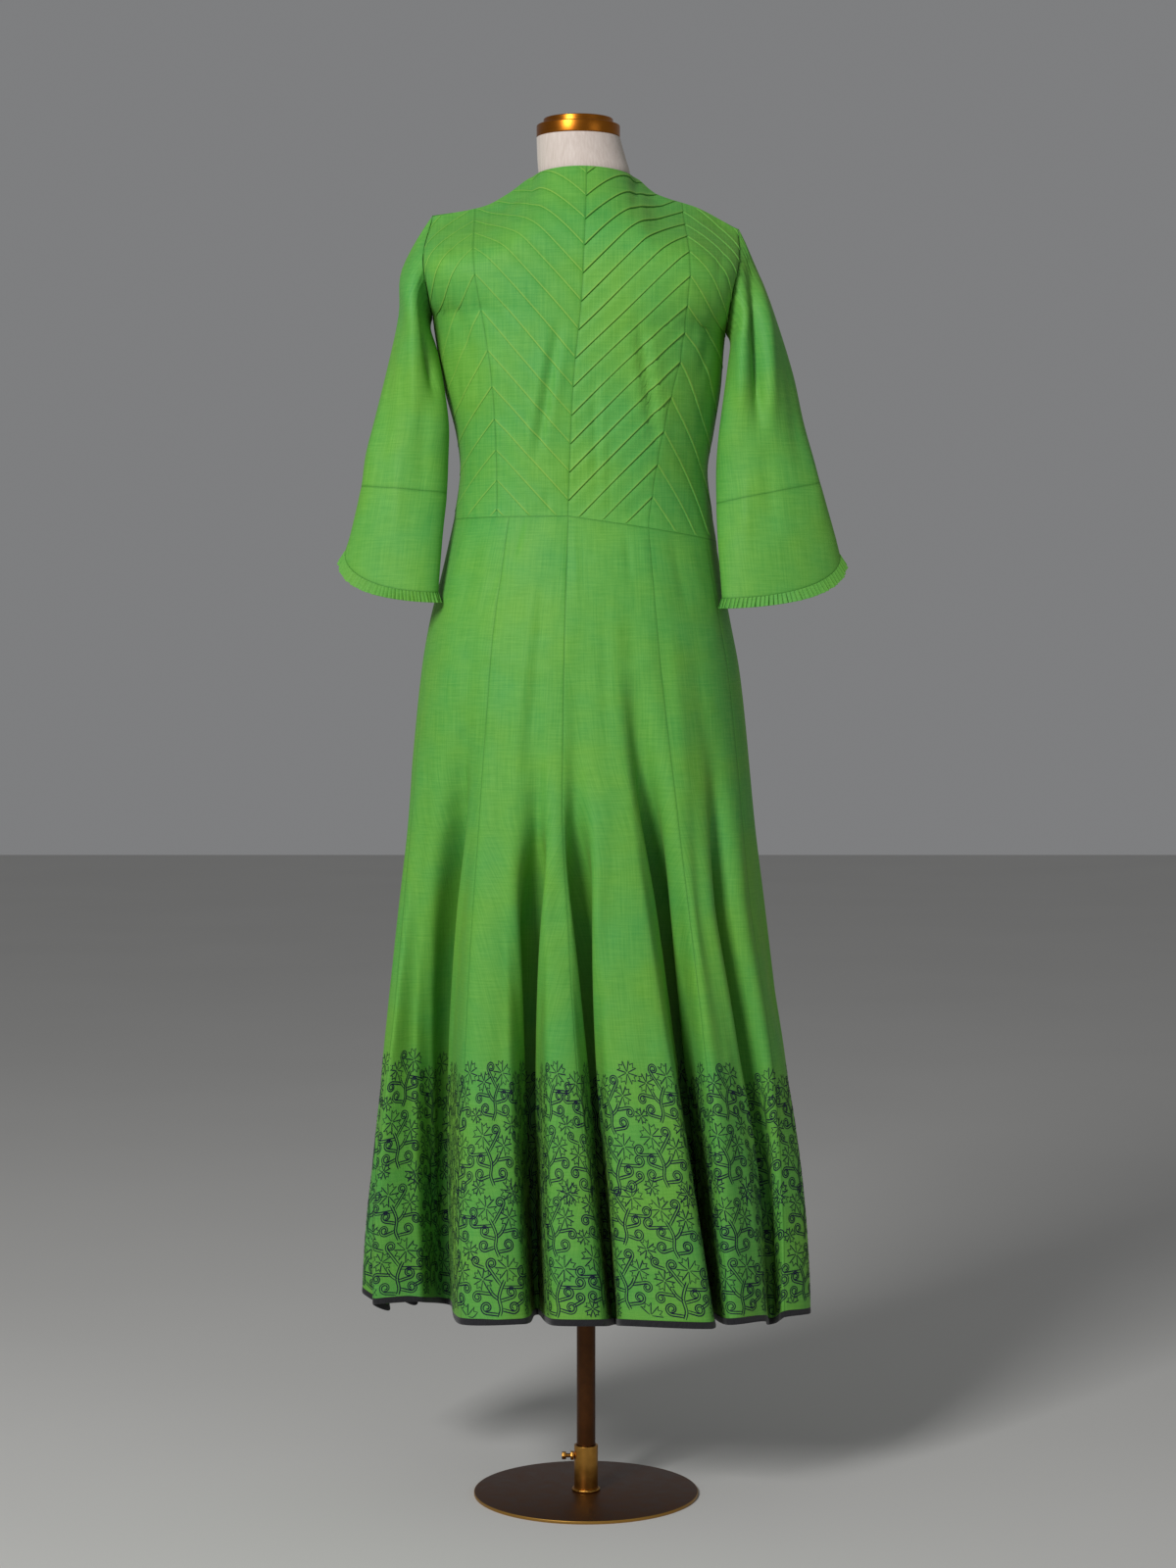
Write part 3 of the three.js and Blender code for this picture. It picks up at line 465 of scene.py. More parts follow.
def ridge_y(face, x):
    """The line where front and back meet: along the shoulders, parting round the neck."""
    from_neck = np.clip(np.abs(x - NECK_X) / NECK_HALF_WIDTH, 0, 1)
    neck_depth = NECK_BACK_DEPTH if face == BACK else NECK_FRONT_DEPTH
    return SHOULDER_LINE_Y + face * neck_depth * np.sqrt(1 - from_neck**2)


def body_point(face, share, z):
    """A point on the outside of the kurti's bodice. share runs from -1 at the left edge to 1 at the right."""
    is_left = share < 0
    x = half_width(is_left, z) * share
    edge = armhole_bow(face, is_left, z)
    flat = edge + (face * depth_at(face, z) - edge) * section_round(share)
    up = np.clip((z - shoulder_height(x) + SHOULDER_ROUND) / SHOULDER_ROUND, 0, 1)
    ridge = ridge_y(face, x)
    y = ridge + (flat - ridge) * np.cos(up * np.pi / 2)
    return np.stack(np.broadcast_arrays(x, y, z), axis=-1)


def body_normal(face, share, z):
    """The direction straight out of the bodice at a point."""
    step = np.where(share > 0, -0.01, 0.01)
    here = body_point(face, share, z)
    across = (body_point(face, share + step, z) - here) * np.sign(step)[..., None]
    up = here - body_point(face, share, z - 1)
    normal = np.cross(across, up) * -face
    return normal / np.linalg.norm(normal, axis=-1, keepdims=True)


def height_where(curve, x_at, start):
    """The height at which a line up the body meets a curve that is given across the body."""
    z = np.full_like(x_at(start * 1.0), start, dtype=float)
    for _ in range(8):
        z = curve(x_at(z))
    return z


def grid_mesh(name, grid, closed=False):
    """A mesh of four-sided faces through a grid of points in millimetres, its faces turned outwards."""
    rows, columns = grid.shape[:2]
    corners = np.arange(rows * columns).reshape(rows, columns)
    if closed:
        corners = np.concatenate([corners, corners[:, :1]], axis=1)
    faces = [corners[:-1, :-1], corners[:-1, 1:], corners[1:, 1:], corners[1:, :-1]]
    faces = np.stack(faces, axis=-1).reshape(-1, 4)
    points = grid.reshape(-1, 3)
    middle = grid.mean(axis=(0, 1)) if closed else np.array([0, 0, grid[..., 2].mean()])
    a, b, c, d = (points[faces[:, k]] for k in range(4))
    facing = np.sum(np.cross(c - a, d - b) * ((a + c) / 2 - middle))
    if facing < 0:
        faces = faces[:, ::-1]
    mesh = bpy.data.meshes.new(name)
    mesh.from_pydata(points * MM, [], faces.tolist())
    return mesh


def tidy_mesh(mesh):
    """Joins points that lie on each other and drops faces that have no area."""
    shape = bmesh.new()
    shape.from_mesh(mesh)
    bmesh.ops.remove_doubles(shape, verts=shape.verts, dist=4e-6)
    bmesh.ops.dissolve_degenerate(shape, dist=2e-6, edges=shape.edges)
    for face in shape.faces:
        face.smooth = True
    shape.to_mesh(mesh)
    shape.free()


def add_piece(mesh):
    piece = bpy.data.objects.new(mesh.name, mesh)
    bpy.context.scene.collection.objects.link(piece)
    return piece


def close_ends(piece):
    """Fills a tube's open ends and turns its faces outwards."""
    select_only(piece)
    bpy.ops.object.mode_set(mode="EDIT")
    bpy.ops.mesh.select_mode(type="EDGE")
    bpy.ops.mesh.select_all(action="DESELECT")
    bpy.ops.mesh.select_non_manifold()
    bpy.ops.mesh.fill_holes(sides=0)
    bpy.ops.mesh.select_all(action="SELECT")
    bpy.ops.mesh.normals_make_consistent(inside=False)
    bpy.ops.object.mode_set(mode="OBJECT")


# Cotton jersey, knitted fine and pulled smooth: a matt cream with faint upright ribs
cream_jersey, tree = empty_material("cream jersey")
place = add_node(tree, "TexCoord", {}).outputs["Object"]
rib_space = add_node(tree, "Mapping", {"Vector": place, "Scale": (420, 420, 40)})
ribs = add_node(tree, "TexNoise", {"Vector": rib_space.outputs[0], "Scale": 1, "Detail": 2})
handling = add_node(tree, "TexNoise", {"Vector": place, "Scale": 14, "Detail": 3})
cream = add_node(
    tree,
    "Mix",
    {0: handling.outputs["Fac"], 6: srgb("#CDBFB6"), 7: srgb("#E2D8D1")},
    data_type="RGBA",
)
ribbed = add_node(
    tree,
    "Mix",
    {0: ribs.outputs["Fac"], 6: srgb("#B9AAA0"), 7: cream.outputs[2]},
    data_type="RGBA",
)
knit = add_node(tree, "Bump", {"Height": ribs.outputs["Fac"], "Strength": 0.25, "Distance": 0.0004})
shader = add_node(
    tree,
    "BsdfPrincipled",
    {
        "Base Color": ribbed.outputs[2],
        "Roughness": 0.85,
        "Sheen Weight": 0.25,
        "Sheen Roughness": 0.5,
        "Specular IOR Level": 0.25,
        "Normal": knit.outputs[0],
    },
)
add_node(tree, "OutputMaterial", {"Surface": shader.outputs["BSDF"]})

# The torso, as a back and a front that meet along the sides and the shoulders
FORM_COLUMNS = 56
FORM_ROWS = 44
# The shoulder ends are drawn in under the armhole seams: from how far out, over what width and height,
# and how far in and down
TIP_FROM = 118
TIP_WIDTH = 40
TIP_HEIGHT = 45
TIP_IN = 4.5

across = np.sin(np.linspace(-np.pi / 2, np.pi / 2, FORM_COLUMNS))
top = height_where(shoulder_height, lambda z: half_width(across < 0, z) * across, SHOULDER_GUESS)
rise = np.sin(np.linspace(0, np.pi / 2, FORM_ROWS))[:, None]
z = FORM_BOTTOM + (top - FORM_BOTTOM) * rise
share = np.broadcast_to(across, z.shape)
x = half_width(share < 0, z) * share
from_top = np.clip((top - z) / FORM_EASE, 0, 1) ** 0.7
by_neck = NECK_EASE * np.clip(2 - np.abs(x - NECK_X) / NECK_HALF_WIDTH, 0, 0.6)
below_waist = np.maximum(0, WAIST_TOP - z) * FORM_HIP_TAPER
under = CLOTH + FORM_SEAT + (FORM_CLEARANCE - FORM_SEAT) * from_top + by_neck + below_waist

sheets = []
for face in (BACK, FRONT):
    sheet = body_point(face, share, z) - under[..., None] * body_normal(face, share, z)
    sheet[0, :, 2] = FORM_BOTTOM
    by_tip = np.clip((np.abs(x) - TIP_FROM) / TIP_WIDTH, 0, 1) * np.clip(1 - (top - z) / TIP_HEIGHT, 0, 1)
    sheet[..., 0] -= TIP_IN * by_tip * np.sign(x)
    sheet[..., 2] -= TIP_IN * by_tip
    sheets.append(sheet)
seam = (sheets[0] + sheets[1]) / 2
for sheet in sheets:
    sheet[:, 0] = seam[:, 0]
    sheet[:, -1] = seam[:, -1]
    shoulder = np.abs(x[-1] - NECK_X) >= NECK_HALF_WIDTH
    sheet[-1, shoulder] = seam[-1, shoulder]
around = np.concatenate([sheets[0], sheets[1][:, -2:0:-1]], axis=1)
torso_mesh = grid_mesh("form_torso", around, closed=True)
tidy_mesh(torso_mesh)
form_torso = add_piece(torso_mesh)
close_ends(form_torso)

# The neck: height, centre across and in depth, half-width and half-depth
NECK_RINGS = (
    (1505, -2, -7, 44, 42),
    (1534, -2, -7, 50, 48),
    (1549, -2, -7, 53, 50),
    (1566, -5, -4, 51.5, 50),
    (1591.5, -9, 0, 48.5, 48.5),
)
NECK_TOP = NECK_RINGS[-1][0]
NECK_STEPS = 96
NECK_ROWS = 24

turn = np.linspace(0, 2 * np.pi, NECK_STEPS, endpoint=False)
heights = np.linspace(NECK_RINGS[0][0], NECK_TOP, NECK_ROWS)[:, None]
neck_x, neck_y, neck_wide, neck_deep = (reader(NECK_RINGS, column)(heights) for column in (1, 2, 3, 4))
neck_x = neck_x + neck_wide * np.cos(turn)
neck_y = neck_y + neck_deep * np.sin(turn)
neck_grid = np.stack(np.broadcast_arrays(neck_x, neck_y, heights), axis=-1)
neck_mesh = grid_mesh("form_neck", neck_grid, closed=True)
tidy_mesh(neck_mesh)
form_neck = add_piece(neck_mesh)
close_ends(form_neck)

select_only(form_torso)
joined = form_torso.modifiers.new("neck", "BOOLEAN")
joined.operation = "UNION"
joined.solver = "MANIFOLD"
joined.object = form_neck
bpy.ops.object.modifier_apply(modifier=joined.name)
bpy.data.objects.remove(form_neck)
finish_hard_piece(form_torso, "form_torso", cream_jersey, "form_cover", "form_body")


# Neck cap. Spun brass in two steps: a broad band round the top of the neck, and a smaller disc on it.
# Its edges are rolled, and it is polished round and round, which leaves fine level lines.
CAP_X = -0.009
CAP_FOOT = 1.5918
CAP_BAND = (0.0485, 0.014)
CAP_DISC = (0.0405, 0.0076)
CAP_ROLL = 0.004
CAP_DISH = 0.0006

bpy.ops.object.select_all(action="DESELECT")
bpy.ops.mesh.primitive_cylinder_add(
    vertices=128,
    radius=CAP_BAND[0],
    depth=CAP_BAND[1],
    location=(CAP_X, 0, CAP_FOOT + CAP_BAND[1] / 2),
)
neck_finial = bpy.context.object
bpy.ops.object.mode_set(mode="EDIT")
bpy.ops.mesh.select_mode(type="FACE")
select_faces(neck_finial, lambda face: face.normal.z > 0.9)
bpy.ops.mesh.inset(thickness=CAP_BAND[0] - CAP_DISC[0])
bpy.ops.mesh.extrude_region_move(TRANSFORM_OT_translate={"value": (0, 0, CAP_DISC[1])})
bpy.ops.mesh.inset(thickness=CAP_ROLL, depth=-CAP_DISH)
bpy.ops.object.mode_set(mode="OBJECT")
ease_edges(neck_finial, 0.0012, 4)

# Lacquered brass, spun and polished: a warm gold that goes brown where it turns from the light
spun_brass, tree = empty_material("spun brass")
place = add_node(tree, "TexCoord", {}).outputs["Object"]
line_space = add_node(tree, "Mapping", {"Vector": place, "Scale": (12, 12, 1500)})
lines = add_node(tree, "TexNoise", {"Vector": line_space.outputs[0], "Scale": 1, "Detail": 3})
tarnish = add_node(tree, "TexNoise", {"Vector": place, "Scale": 30, "Detail": 3})
gold = add_node(
    tree,
    "Mix",
    {0: tarnish.outputs["Fac"], 6: srgb("#8E4A0E"), 7: srgb("#C27C2A")},
    data_type="RGBA",
)
polish = add_node(tree, "MapRange", {"Value": lines.outputs["Fac"], "To Min": 0.22, "To Max": 0.4})
spun = add_node(tree, "Bump", {"Height": lines.outputs["Fac"], "Strength": 0.1, "Distance": 0.0002})
shader = add_node(
    tree,
    "BsdfPrincipled",
    {
        "Base Color": gold.outputs[2],
        "Metallic": 1.0,
        "Roughness": polish.outputs[0],
        "Normal": spun.outputs[0],
    },
)
add_node(tree, "OutputMaterial", {"Surface": shader.outputs["BSDF"]})
finish_hard_piece(neck_finial, "neck_finial", spun_brass, "brass_fittings", "neck_cap")


# Bodice back. Two centre panels and two side panels of handloom cotton silk, pin-tucked in lines that
# meet as chevrons on the centre seam and turn over at the princess seams, then sewn up the back.
# Each tuck is a narrow pleat, stitched along its foot and pressed down, so it casts a thin shadow.
CLOTH_SEEN = 1.0
CLOTH_CREASE = 60
SEAM = 0.08
TUCK_PITCH = 32
TUCK_SLOPE = 1.06
TUCK_FIRST = 16
TUCKS = range(-5, 14)
FOLD_PAINTED_HIGHLIGHT = 0.55
PANEL_ROWS = 500
SIDE_WRAP = 1.5
WAIST_BREAK = -20
WAIST_LEFT = 1149
WAIST_FALL = 0.146
# One tuck from below its stitching upwards: height on the cloth, how far it stands out, and its
# painted light, which is 1 for the painted shadow at its foot and -1 for the paler, yellower
# painted highlight on its fold
TUCK_PROFILE = (
    (-1.6, 0.0, 0.0),
    (-0.9, -0.3, 0.5),
    (-0.1, -0.4, 1.0),
    (0.25, 1.2, 0.0),
    (0.9, 1.5, -1.0),
    (2.0, 1.35, -0.8),
    (3.2, 0.95, 0.0),
    (6.5, 0.45, 0.0),
    (12.0, 0.12, 0.0),
    (20.0, 0.0, 0.0),
)
# Upright seams of the back: height, left princess seam, centre seam, right princess seam
SEAM_PLACES = (
    (1130, -102, -21, 70),
    (1195, -102, -19, 79),
    (1270, -105, -16, 93),
    (1325, -110, -12, 107),
    (1380, -119, -6, 114),
    (1430, -127, -3, 118),
    (1505, -129, 0, 112),
    (1551, -129, 1, 112),
)
# Soft folds of the back: from x and z, to x and z, width, and height out of the cloth
BACK_FOLDS = (
    (-28, 1385, -60, 1195, 6, -4.6),
    (-38, 1375, -69, 1200, 8, 2.6),
    (-19, 1370, -49, 1200, 8, 1.8),
    (56, 1390, 82, 1215, 6, -4.2),
    (67, 1385, 93, 1215, 8, 2.2),
    (46, 1380, 70, 1230, 8, 1.5),
    (9, 1330, 12, 1150, 4, -1.9),
    (18, 1320, 20, 1160, 4, 1.2),
    (27, 1240, 27, 1148, 3.5, -1.0),
    (-46, 1192, -43, 1148, 3, -1.1),
    (-85, 1300, -96, 1170, 6, -1.1),
    (54, 1534, 104, 1497, 3, -1.0),
    (72, 1531, 128, 1500, 3, 0.8),
    (60, 1512, 96, 1478, 3, -0.8),
    (-60, 1530, -110, 1498, 3.5, -0.7),
    (-150, 1384, -128, 1322, 5, -1.5),
    (-142, 1400, -118, 1344, 5, 1.0),
    (-160, 1350, -139, 1262, 5, -1.3),
    (146, 1366, 128, 1300, 5, -1.5),
    (139, 1384, 119, 1322, 5, 1.0),
    (150, 1330, 131, 1242, 5, -1.3),
    (-158, 1480, -146, 1420, 4, -1.0),
    (160, 1466, 147, 1406, 4, -1.0),
)

seam_left, seam_centre, seam_right = (reader(SEAM_PLACES, column) for column in (1, 2, 3))


def waist_height(x):
    return WAIST_LEFT - WAIST_FALL * np.maximum(0, x - WAIST_BREAK)


def soft_folds(points, folds):
    """How far given folds lift or sink a cloth, each a soft ridge or trough that fades at its ends."""
    lift = np.zeros(points.shape[:-1])
    for from_x, from_z, to_x, to_z, width, height in folds:
        run = np.array([to_x - from_x, to_z - from_z], float)
        length = np.hypot(*run)
        off_x = points[..., 0] - from_x
        off_z = points[..., 2] - from_z
        along = (off_x * run[0] + off_z * run[1]) / length**2
        aside = (off_x * run[1] - off_z * run[0]) / length
        fade = np.clip(np.minimum(along, 1 - along) / 0.4, 0, 1)
        lift += height * np.exp(-((aside / width) ** 2)) * fade * fade * (3 - 2 * fade)
    return lift


def unevenness(a, b, seed):
    """A smooth, irregular swell between about -1 and 1 over two measures, the same on each run."""
    swell = 0
    for k in range(1, 6):
        turn_a = math.cos(seed * 1.7 + k * 2.4)
        turn_b = math.sin(seed * 1.7 + k * 2.4)
        swell = swell + np.sin((a * turn_a + b * turn_b) * k**0.7 + seed * k * 3.1) / k**0.8
    return swell / 2.2


def cloth_piece(name, grid, across, along, mark, closed=False, thickness=CLOTH_SEEN):
    """Cloth from a grid of points in millimetres. It keeps the measures across and along the cloth, and
    the painted shade at a seam or a fold's foot or the painted highlight on a tuck's fold, as one
    attribute that its material reads."""
    mesh = grid_mesh(name, grid, closed)
    weave = mesh.attributes.new("weave", "FLOAT_VECTOR", "POINT")
    across, along, mark = (np.broadcast_to(part, grid.shape[:2]) for part in (across * MM, along * MM, mark))
    weave.data.foreach_set("vector", np.stack([across, along, mark], axis=-1).ravel())
    tidy_mesh(mesh)
    piece = add_piece(mesh)
    select_only(piece)
    wall = piece.modifiers.new("thickness", "SOLIDIFY")
    wall.thickness = thickness * MM
    wall.offset = -1
    bpy.ops.object.modifier_apply(modifier=wall.name)
    bpy.ops.object.shade_smooth_by_angle(angle=math.radians(CLOTH_CREASE))
    return piece


def steps_along(grid, axis):
    """The measure along a grid's rows or columns, from its first line of points."""
    steps = np.linalg.norm(np.diff(grid, axis=axis), axis=-1)
    start = np.zeros_like(np.take(steps, [0], axis=axis))
    return np.concatenate([start, np.cumsum(steps, axis=axis)], axis=axis)


# Rows close by a sewn end: distance from it, and share of the seam's painted shade there
ROWS_BY_SEAM = (
    (0, 1),
    (0.5, 0.9),
    (1.2, 0.5),
    (2.4, 0.12),
)


def shaded_end(grid, mark, first, darkness):
    """Adds rows close by the first or last row of a grid, with painted shade that deepens towards it,
    for the seam there.
    """
    grid = grid if first else grid[::-1]
    mark = np.broadcast_to(mark, grid.shape[:2])
    mark = mark if first else mark[::-1]
    away = grid[1] - grid[0]
    away /= np.linalg.norm(away, axis=-1, keepdims=True)
    near = [grid[0] + away * distance for distance, _ in ROWS_BY_SEAM]
    shades = [np.maximum(mark[0], darkness * part) for _, part in ROWS_BY_SEAM]
    grid = np.concatenate([near, grid[1:]])
    mark = np.concatenate([shades, mark[1:]])
    return (grid, mark) if first else (grid[::-1], mark[::-1])


def looped(grid):
    """A closed tube's grid with its first column again at the end."""
    return np.concatenate([grid, grid[:, :1]], axis=1)


def finish_cloth(piece, grid, material, held, rests_on, *nodes, slot="kurti_cloth", with_pieces=()):
    """Gives a cloth piece its finish and fastens it, and hides the nodes that it stands in for."""
    piece.data.materials.append(material)
    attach(piece, "root")
    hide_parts(*nodes)


# Shot cotton silk, woven by hand in a green warp and a yellow-green weft: a soft lustre, thick and
# thin threads both ways, teal and yellow tints that come and go. Real threads lie 0.3 mm apart, which
# is too fine to show, so the slubs are drawn 2 to 3 mm apart.
SLUB_LONG = 34
SLUB_WIDE = 560

shot_cotton_silk, tree = empty_material("shot cotton silk")
weave = add_node(tree, "Attribute", {}, attribute_name="weave").outputs["Vector"]
parts = add_node(tree, "SeparateXYZ", {"Vector": weave})
on_cloth = add_node(tree, "CombineXYZ", {"X": parts.outputs["X"], "Y": parts.outputs["Y"]})
place = add_node(tree, "TexCoord", {}).outputs["Object"]
weft_space = add_node(tree, "Mapping", {"Vector": on_cloth.outputs[0], "Scale": (SLUB_LONG, SLUB_WIDE, 1)})
weft = add_node(
    tree,
    "TexNoise",
    {"Vector": weft_space.outputs[0], "Scale": 1, "Detail": 3, "Roughness": 0.6},
)
warp_space = add_node(
    tree,
    "Mapping",
    {"Vector": on_cloth.outputs[0], "Scale": (SLUB_WIDE, SLUB_LONG * 0.6, 1)},
)
warp = add_node(
    tree,
    "TexNoise",
    {"Vector": warp_space.outputs[0], "Scale": 1, "Detail": 3, "Roughness": 0.6},
)
threads = add_node(tree, "Math", {0: weft.outputs["Fac"], 1: warp.outputs["Fac"]}, operation="ADD")
thread_shade = add_node(tree, "MapRange", {"Value": threads.outputs[0], "From Min": 0.75, "From Max": 1.25})
tint = add_node(tree, "TexNoise", {"Vector": place, "Scale": 9, "Detail": 3, "Roughness": 0.55})
tint_share = add_node(tree, "MapRange", {"Value": tint.outputs["Fac"], "From Min": 0.36, "From Max": 0.64})
green = add_node(
    tree,
    "Mix",
    {0: thread_shade.outputs[0], 6: srgb("#4A9238"), 7: srgb("#6CAC4A")},
    data_type="RGBA",
)
tinted = add_node(
    tree,
    "Mix",
    {0: tint_share.outputs[0], 6: srgb("#489C4C"), 7: srgb("#6EA836")},
    data_type="RGBA",
)
ground = add_node(tree, "Mix", {0: 0.45, 6: green.outputs[2], 7: tinted.outputs[2]}, data_type="RGBA")
# Painted shade: the weave's third value darkens the cloth at seams and edges, at the tucks' feet and in the
# frill's pleats
shaded = add_node(
    tree,
    "Mix",
    {0: parts.outputs["Z"], 6: ground.outputs[2], 7: srgb("#24691D")},
    data_type="RGBA",
)
# Painted highlight: where that value is below nought, on the tucks' folds, the next mix paints the cloth a
# paler yellow-green
painted_highlight_share = add_node(tree, "MapRange", {"Value": parts.outputs["Z"], "From Min": 0, "From Max": -1})
worn = add_node(
    tree,
    "Mix",
    {0: painted_highlight_share.outputs[0], 6: shaded.outputs[2], 7: srgb("#93B84C")},
    data_type="RGBA",
)
crumple = add_node(
    tree,
    "TexNoise",
    {"Vector": place, "Scale": 15, "Detail": 4, "Roughness": 0.55, "Distortion": 0.6},
    noise_type="RIDGED_MULTIFRACTAL",
)
crumpled = add_node(tree, "Bump", {"Height": crumple.outputs["Fac"], "Strength": 0.6, "Distance": 0.003})
slubs = add_node(
    tree,
    "Bump",
    {"Height": threads.outputs[0], "Strength": 0.3, "Distance": 0.0005, "Normal": crumpled.outputs[0]},
)
shader = add_node(
    tree,
    "BsdfPrincipled",
    {
        "Base Color": worn.outputs[2],
        "Roughness": 0.6,
        "Specular IOR Level": 0.22,
        "Sheen Weight": 0.13,
        "Sheen Roughness": 0.4,
        "Sheen Tint": srgb("#C4DE62"),
        "Normal": slubs.outputs[0],
    },
)
add_node(tree, "OutputMaterial", {"Surface": shader.outputs["BSDF"]})


# A seam's groove: how deep it sinks and over what width, then the painted shade along it and that shade's
# width
SEAM_SINK = 0.4
SEAM_SINK_WIDTH = 1.2
SEAM_PAINTED_SHADE = 0.36
SEAM_PAINTED_SHADE_WIDTH = 0.9


def edge_parts(width, inner):
    """Places across a panel: some close by its seams for the groove there, the rest evenly between."""
    near = np.array([0, 0.7, 1.6, 3.4]) / width
    between = np.linspace(7 / width, 1 - 7 / width, inner)
    return np.concatenate([near, between, 1 - near[::-1]])


def seam_groove(distance):
    """How far cloth sinks at a distance from a seam, and how much painted shade it takes there."""
    sink = -SEAM_SINK * np.exp(-((distance / SEAM_SINK_WIDTH) ** 2))
    return sink, SEAM_PAINTED_SHADE * np.exp(-((distance / SEAM_PAINTED_SHADE_WIDTH) ** 2))


def tucked_panel(parts, seam_a, seam_b, rise, crispness, darkness):
    """A back panel: its points, and the painted shade or painted highlight at each. Tucks run where the
    height on the cloth, less the chevron's rise, comes to a whole number of pitches."""
    gap = SEAM / 2 * (1 - 2 * parts) * np.sign(seam_b(WAIST_TOP) - seam_a(WAIST_TOP))

    def x_at(z):
        return seam_a(z) + (seam_b(z) - seam_a(z)) * parts + gap

    def share_at(z):
        x = x_at(z)
        return np.clip(x / half_width(x < 0, z), -1, 1)

    bottom = height_where(waist_height, x_at, WAIST_TOP)
    top = height_where(shoulder_height, x_at, SHOULDER_GUESS)
    z = bottom + (top - bottom) * np.linspace(0, 1, PANEL_ROWS)[:, None]
    points = body_point(BACK, share_at(z), z)
    climb = np.hypot(*np.moveaxis(np.diff(points[..., 1:], axis=0), -1, 0))
    length = bottom - WAIST_TOP + np.concatenate([np.zeros((1, len(parts))), np.cumsum(climb, axis=0)])
    reach = np.maximum.accumulate(length - rise(points[..., 0], z), axis=0)

    lines = [(-1e6, 0, 0)]
    for tuck in TUCKS:
        foot = TUCK_FIRST + tuck * TUCK_PITCH
        lines += [(foot + above, raised, shade) for above, raised, shade in TUCK_PROFILE]
    lines.append((1e6, 0, 0))
    wanted, raised, shade = (np.array(column, float) for column in zip(*lines))
    heights = np.stack([np.interp(wanted, reach[:, c], z[:, c]) for c in range(len(parts))], axis=1)

    share = share_at(heights)
    points = body_point(BACK, share, heights)
    from_ends = np.clip(np.minimum(heights - bottom, top - heights) / 3, 0, 1)
    distance = np.minimum(parts, 1 - parts) * np.abs(seam_b(heights) - seam_a(heights))
    groove, dark = seam_groove(distance)
    fading = 0.8 + 0.35 * unevenness(points[..., 0] / 30, points[..., 2] / 45, 4)
    lift = raised[:, None] * crispness * fading * from_ends + groove * from_ends
    lift += soft_folds(points, BACK_FOLDS) * from_ends
    lift += 0.5 * unevenness(points[..., 0] / 34, points[..., 2] / 60, 9) * from_ends
    # Painted light on the tucks: shade at their feet, set darker on the panels away from the light, and a
    # paler, yellower highlight on their folds
    shade = np.where(shade > 0, shade * darkness, shade * FOLD_PAINTED_HIGHLIGHT)[:, None]
    shade = shade * np.clip(fading, 0, 1) * from_ends
    mark = np.where(dark > 0.08, dark, shade)
    grid = points + lift[..., None] * body_normal(BACK, share, heights)
    return grid, mark


def chevron(x, z):
    return TUCK_SLOPE * np.abs(x - seam_centre(z))


def turned_over(princess):
    """Side tucks fall away from the princess seam, and wrap round the body as they go."""

    def rise(x, z):
        outward = np.abs(x - princess(z))
        wrapped = outward * (1 + SIDE_WRAP * (outward / half_width(x < 0, z)) ** 2)
        return TUCK_SLOPE * (np.abs(princess(z) - seam_centre(z)) - wrapped)

    return rise


def left_side(z):
    return -half_width(True, z)


def right_side(z):
    return half_width(False, z)


# The back's panels: name, width, inner columns, its two seams, how its tucks rise, how far they
# stand out, and how dark the painted shadows at their feet are
BACK_PANELS = (
    ("centre_left", 100, 26, seam_centre, seam_left, chevron, 0.7, 0.2),
    ("centre_right", 105, 26, seam_centre, seam_right, chevron, 1.15, 0.65),
    ("side_left", 55, 16, seam_left, left_side, turned_over(seam_left), 0.5, 0.1),
    ("side_right", 55, 16, seam_right, right_side, turned_over(seam_right), 0.6, 0.3),
)
for name, width, inner, seam_a, seam_b, rise_of, crispness, darkness in BACK_PANELS:
    panel, mark = tucked_panel(edge_parts(width, inner), seam_a, seam_b, rise_of, crispness, darkness)
    if seam_b(WAIST_TOP) < seam_a(WAIST_TOP):
        panel = panel[:, ::-1]
        mark = mark[:, ::-1]
    piece = cloth_piece(f"bodice_{name}", panel, panel[..., 0], panel[..., 2], mark)
    finish_cloth(piece, panel, shot_cotton_silk, "stretched", ["form_torso"], f"back_{name}")


# Bodice front. The photograph hides it, so it is one plain piece of the same cloth with a round neck
# that is a little lower than the back's, joined to the back at the shoulders and sides.
NECK_FRONT_DROP = 72
FRONT_COLUMNS = 64
FRONT_ROWS = 70
FRONT_FOLDS = (
    (-40, 1470, -70, 1390, 8, -1.6),
    (-28, 1465, -56, 1385, 8, 1.0),
    (44, 1468, 72, 1392, 8, -1.5),
    (-140, 1384, -96, 1350, 6, -1.8),
    (138, 1372, 92, 1340, 6, -1.8),
    (-60, 1260, -72, 1160, 6, -1.6),
    (-24, 1250, -26, 1155, 5, -1.2),
    (52, 1262, 62, 1150, 6, -1.6),
    (98, 1230, 104, 1140, 5, -1.2),
)

share = np.sin(np.linspace(-np.pi / 2, np.pi / 2, FRONT_COLUMNS))
bottom = height_where(waist_height, lambda z: half_width(share < 0, z) * share, WAIST_TOP)
top = height_where(shoulder_height, lambda z: half_width(share < 0, z) * share, SHOULDER_GUESS)
from_neck = np.clip(np.abs(half_width(share < 0, top) * share - NECK_X) / NECK_HALF_WIDTH, 0, 1)
top = top - NECK_FRONT_DROP * np.sqrt(1 - from_neck**2)
z = bottom + (top - bottom) * np.sin(np.linspace(0, np.pi / 2, FRONT_ROWS))[:, None]
share = np.broadcast_to(share, z.shape)
front = body_point(FRONT, share, z)
inside = np.clip(np.minimum(z - bottom, top - z) / 6, 0, 1) * np.clip((1 - np.abs(share)) / 0.02, 0, 1)
lift = soft_folds(front, FRONT_FOLDS) + 0.7 * unevenness(front[..., 0] / 34, front[..., 2] / 55, 5)
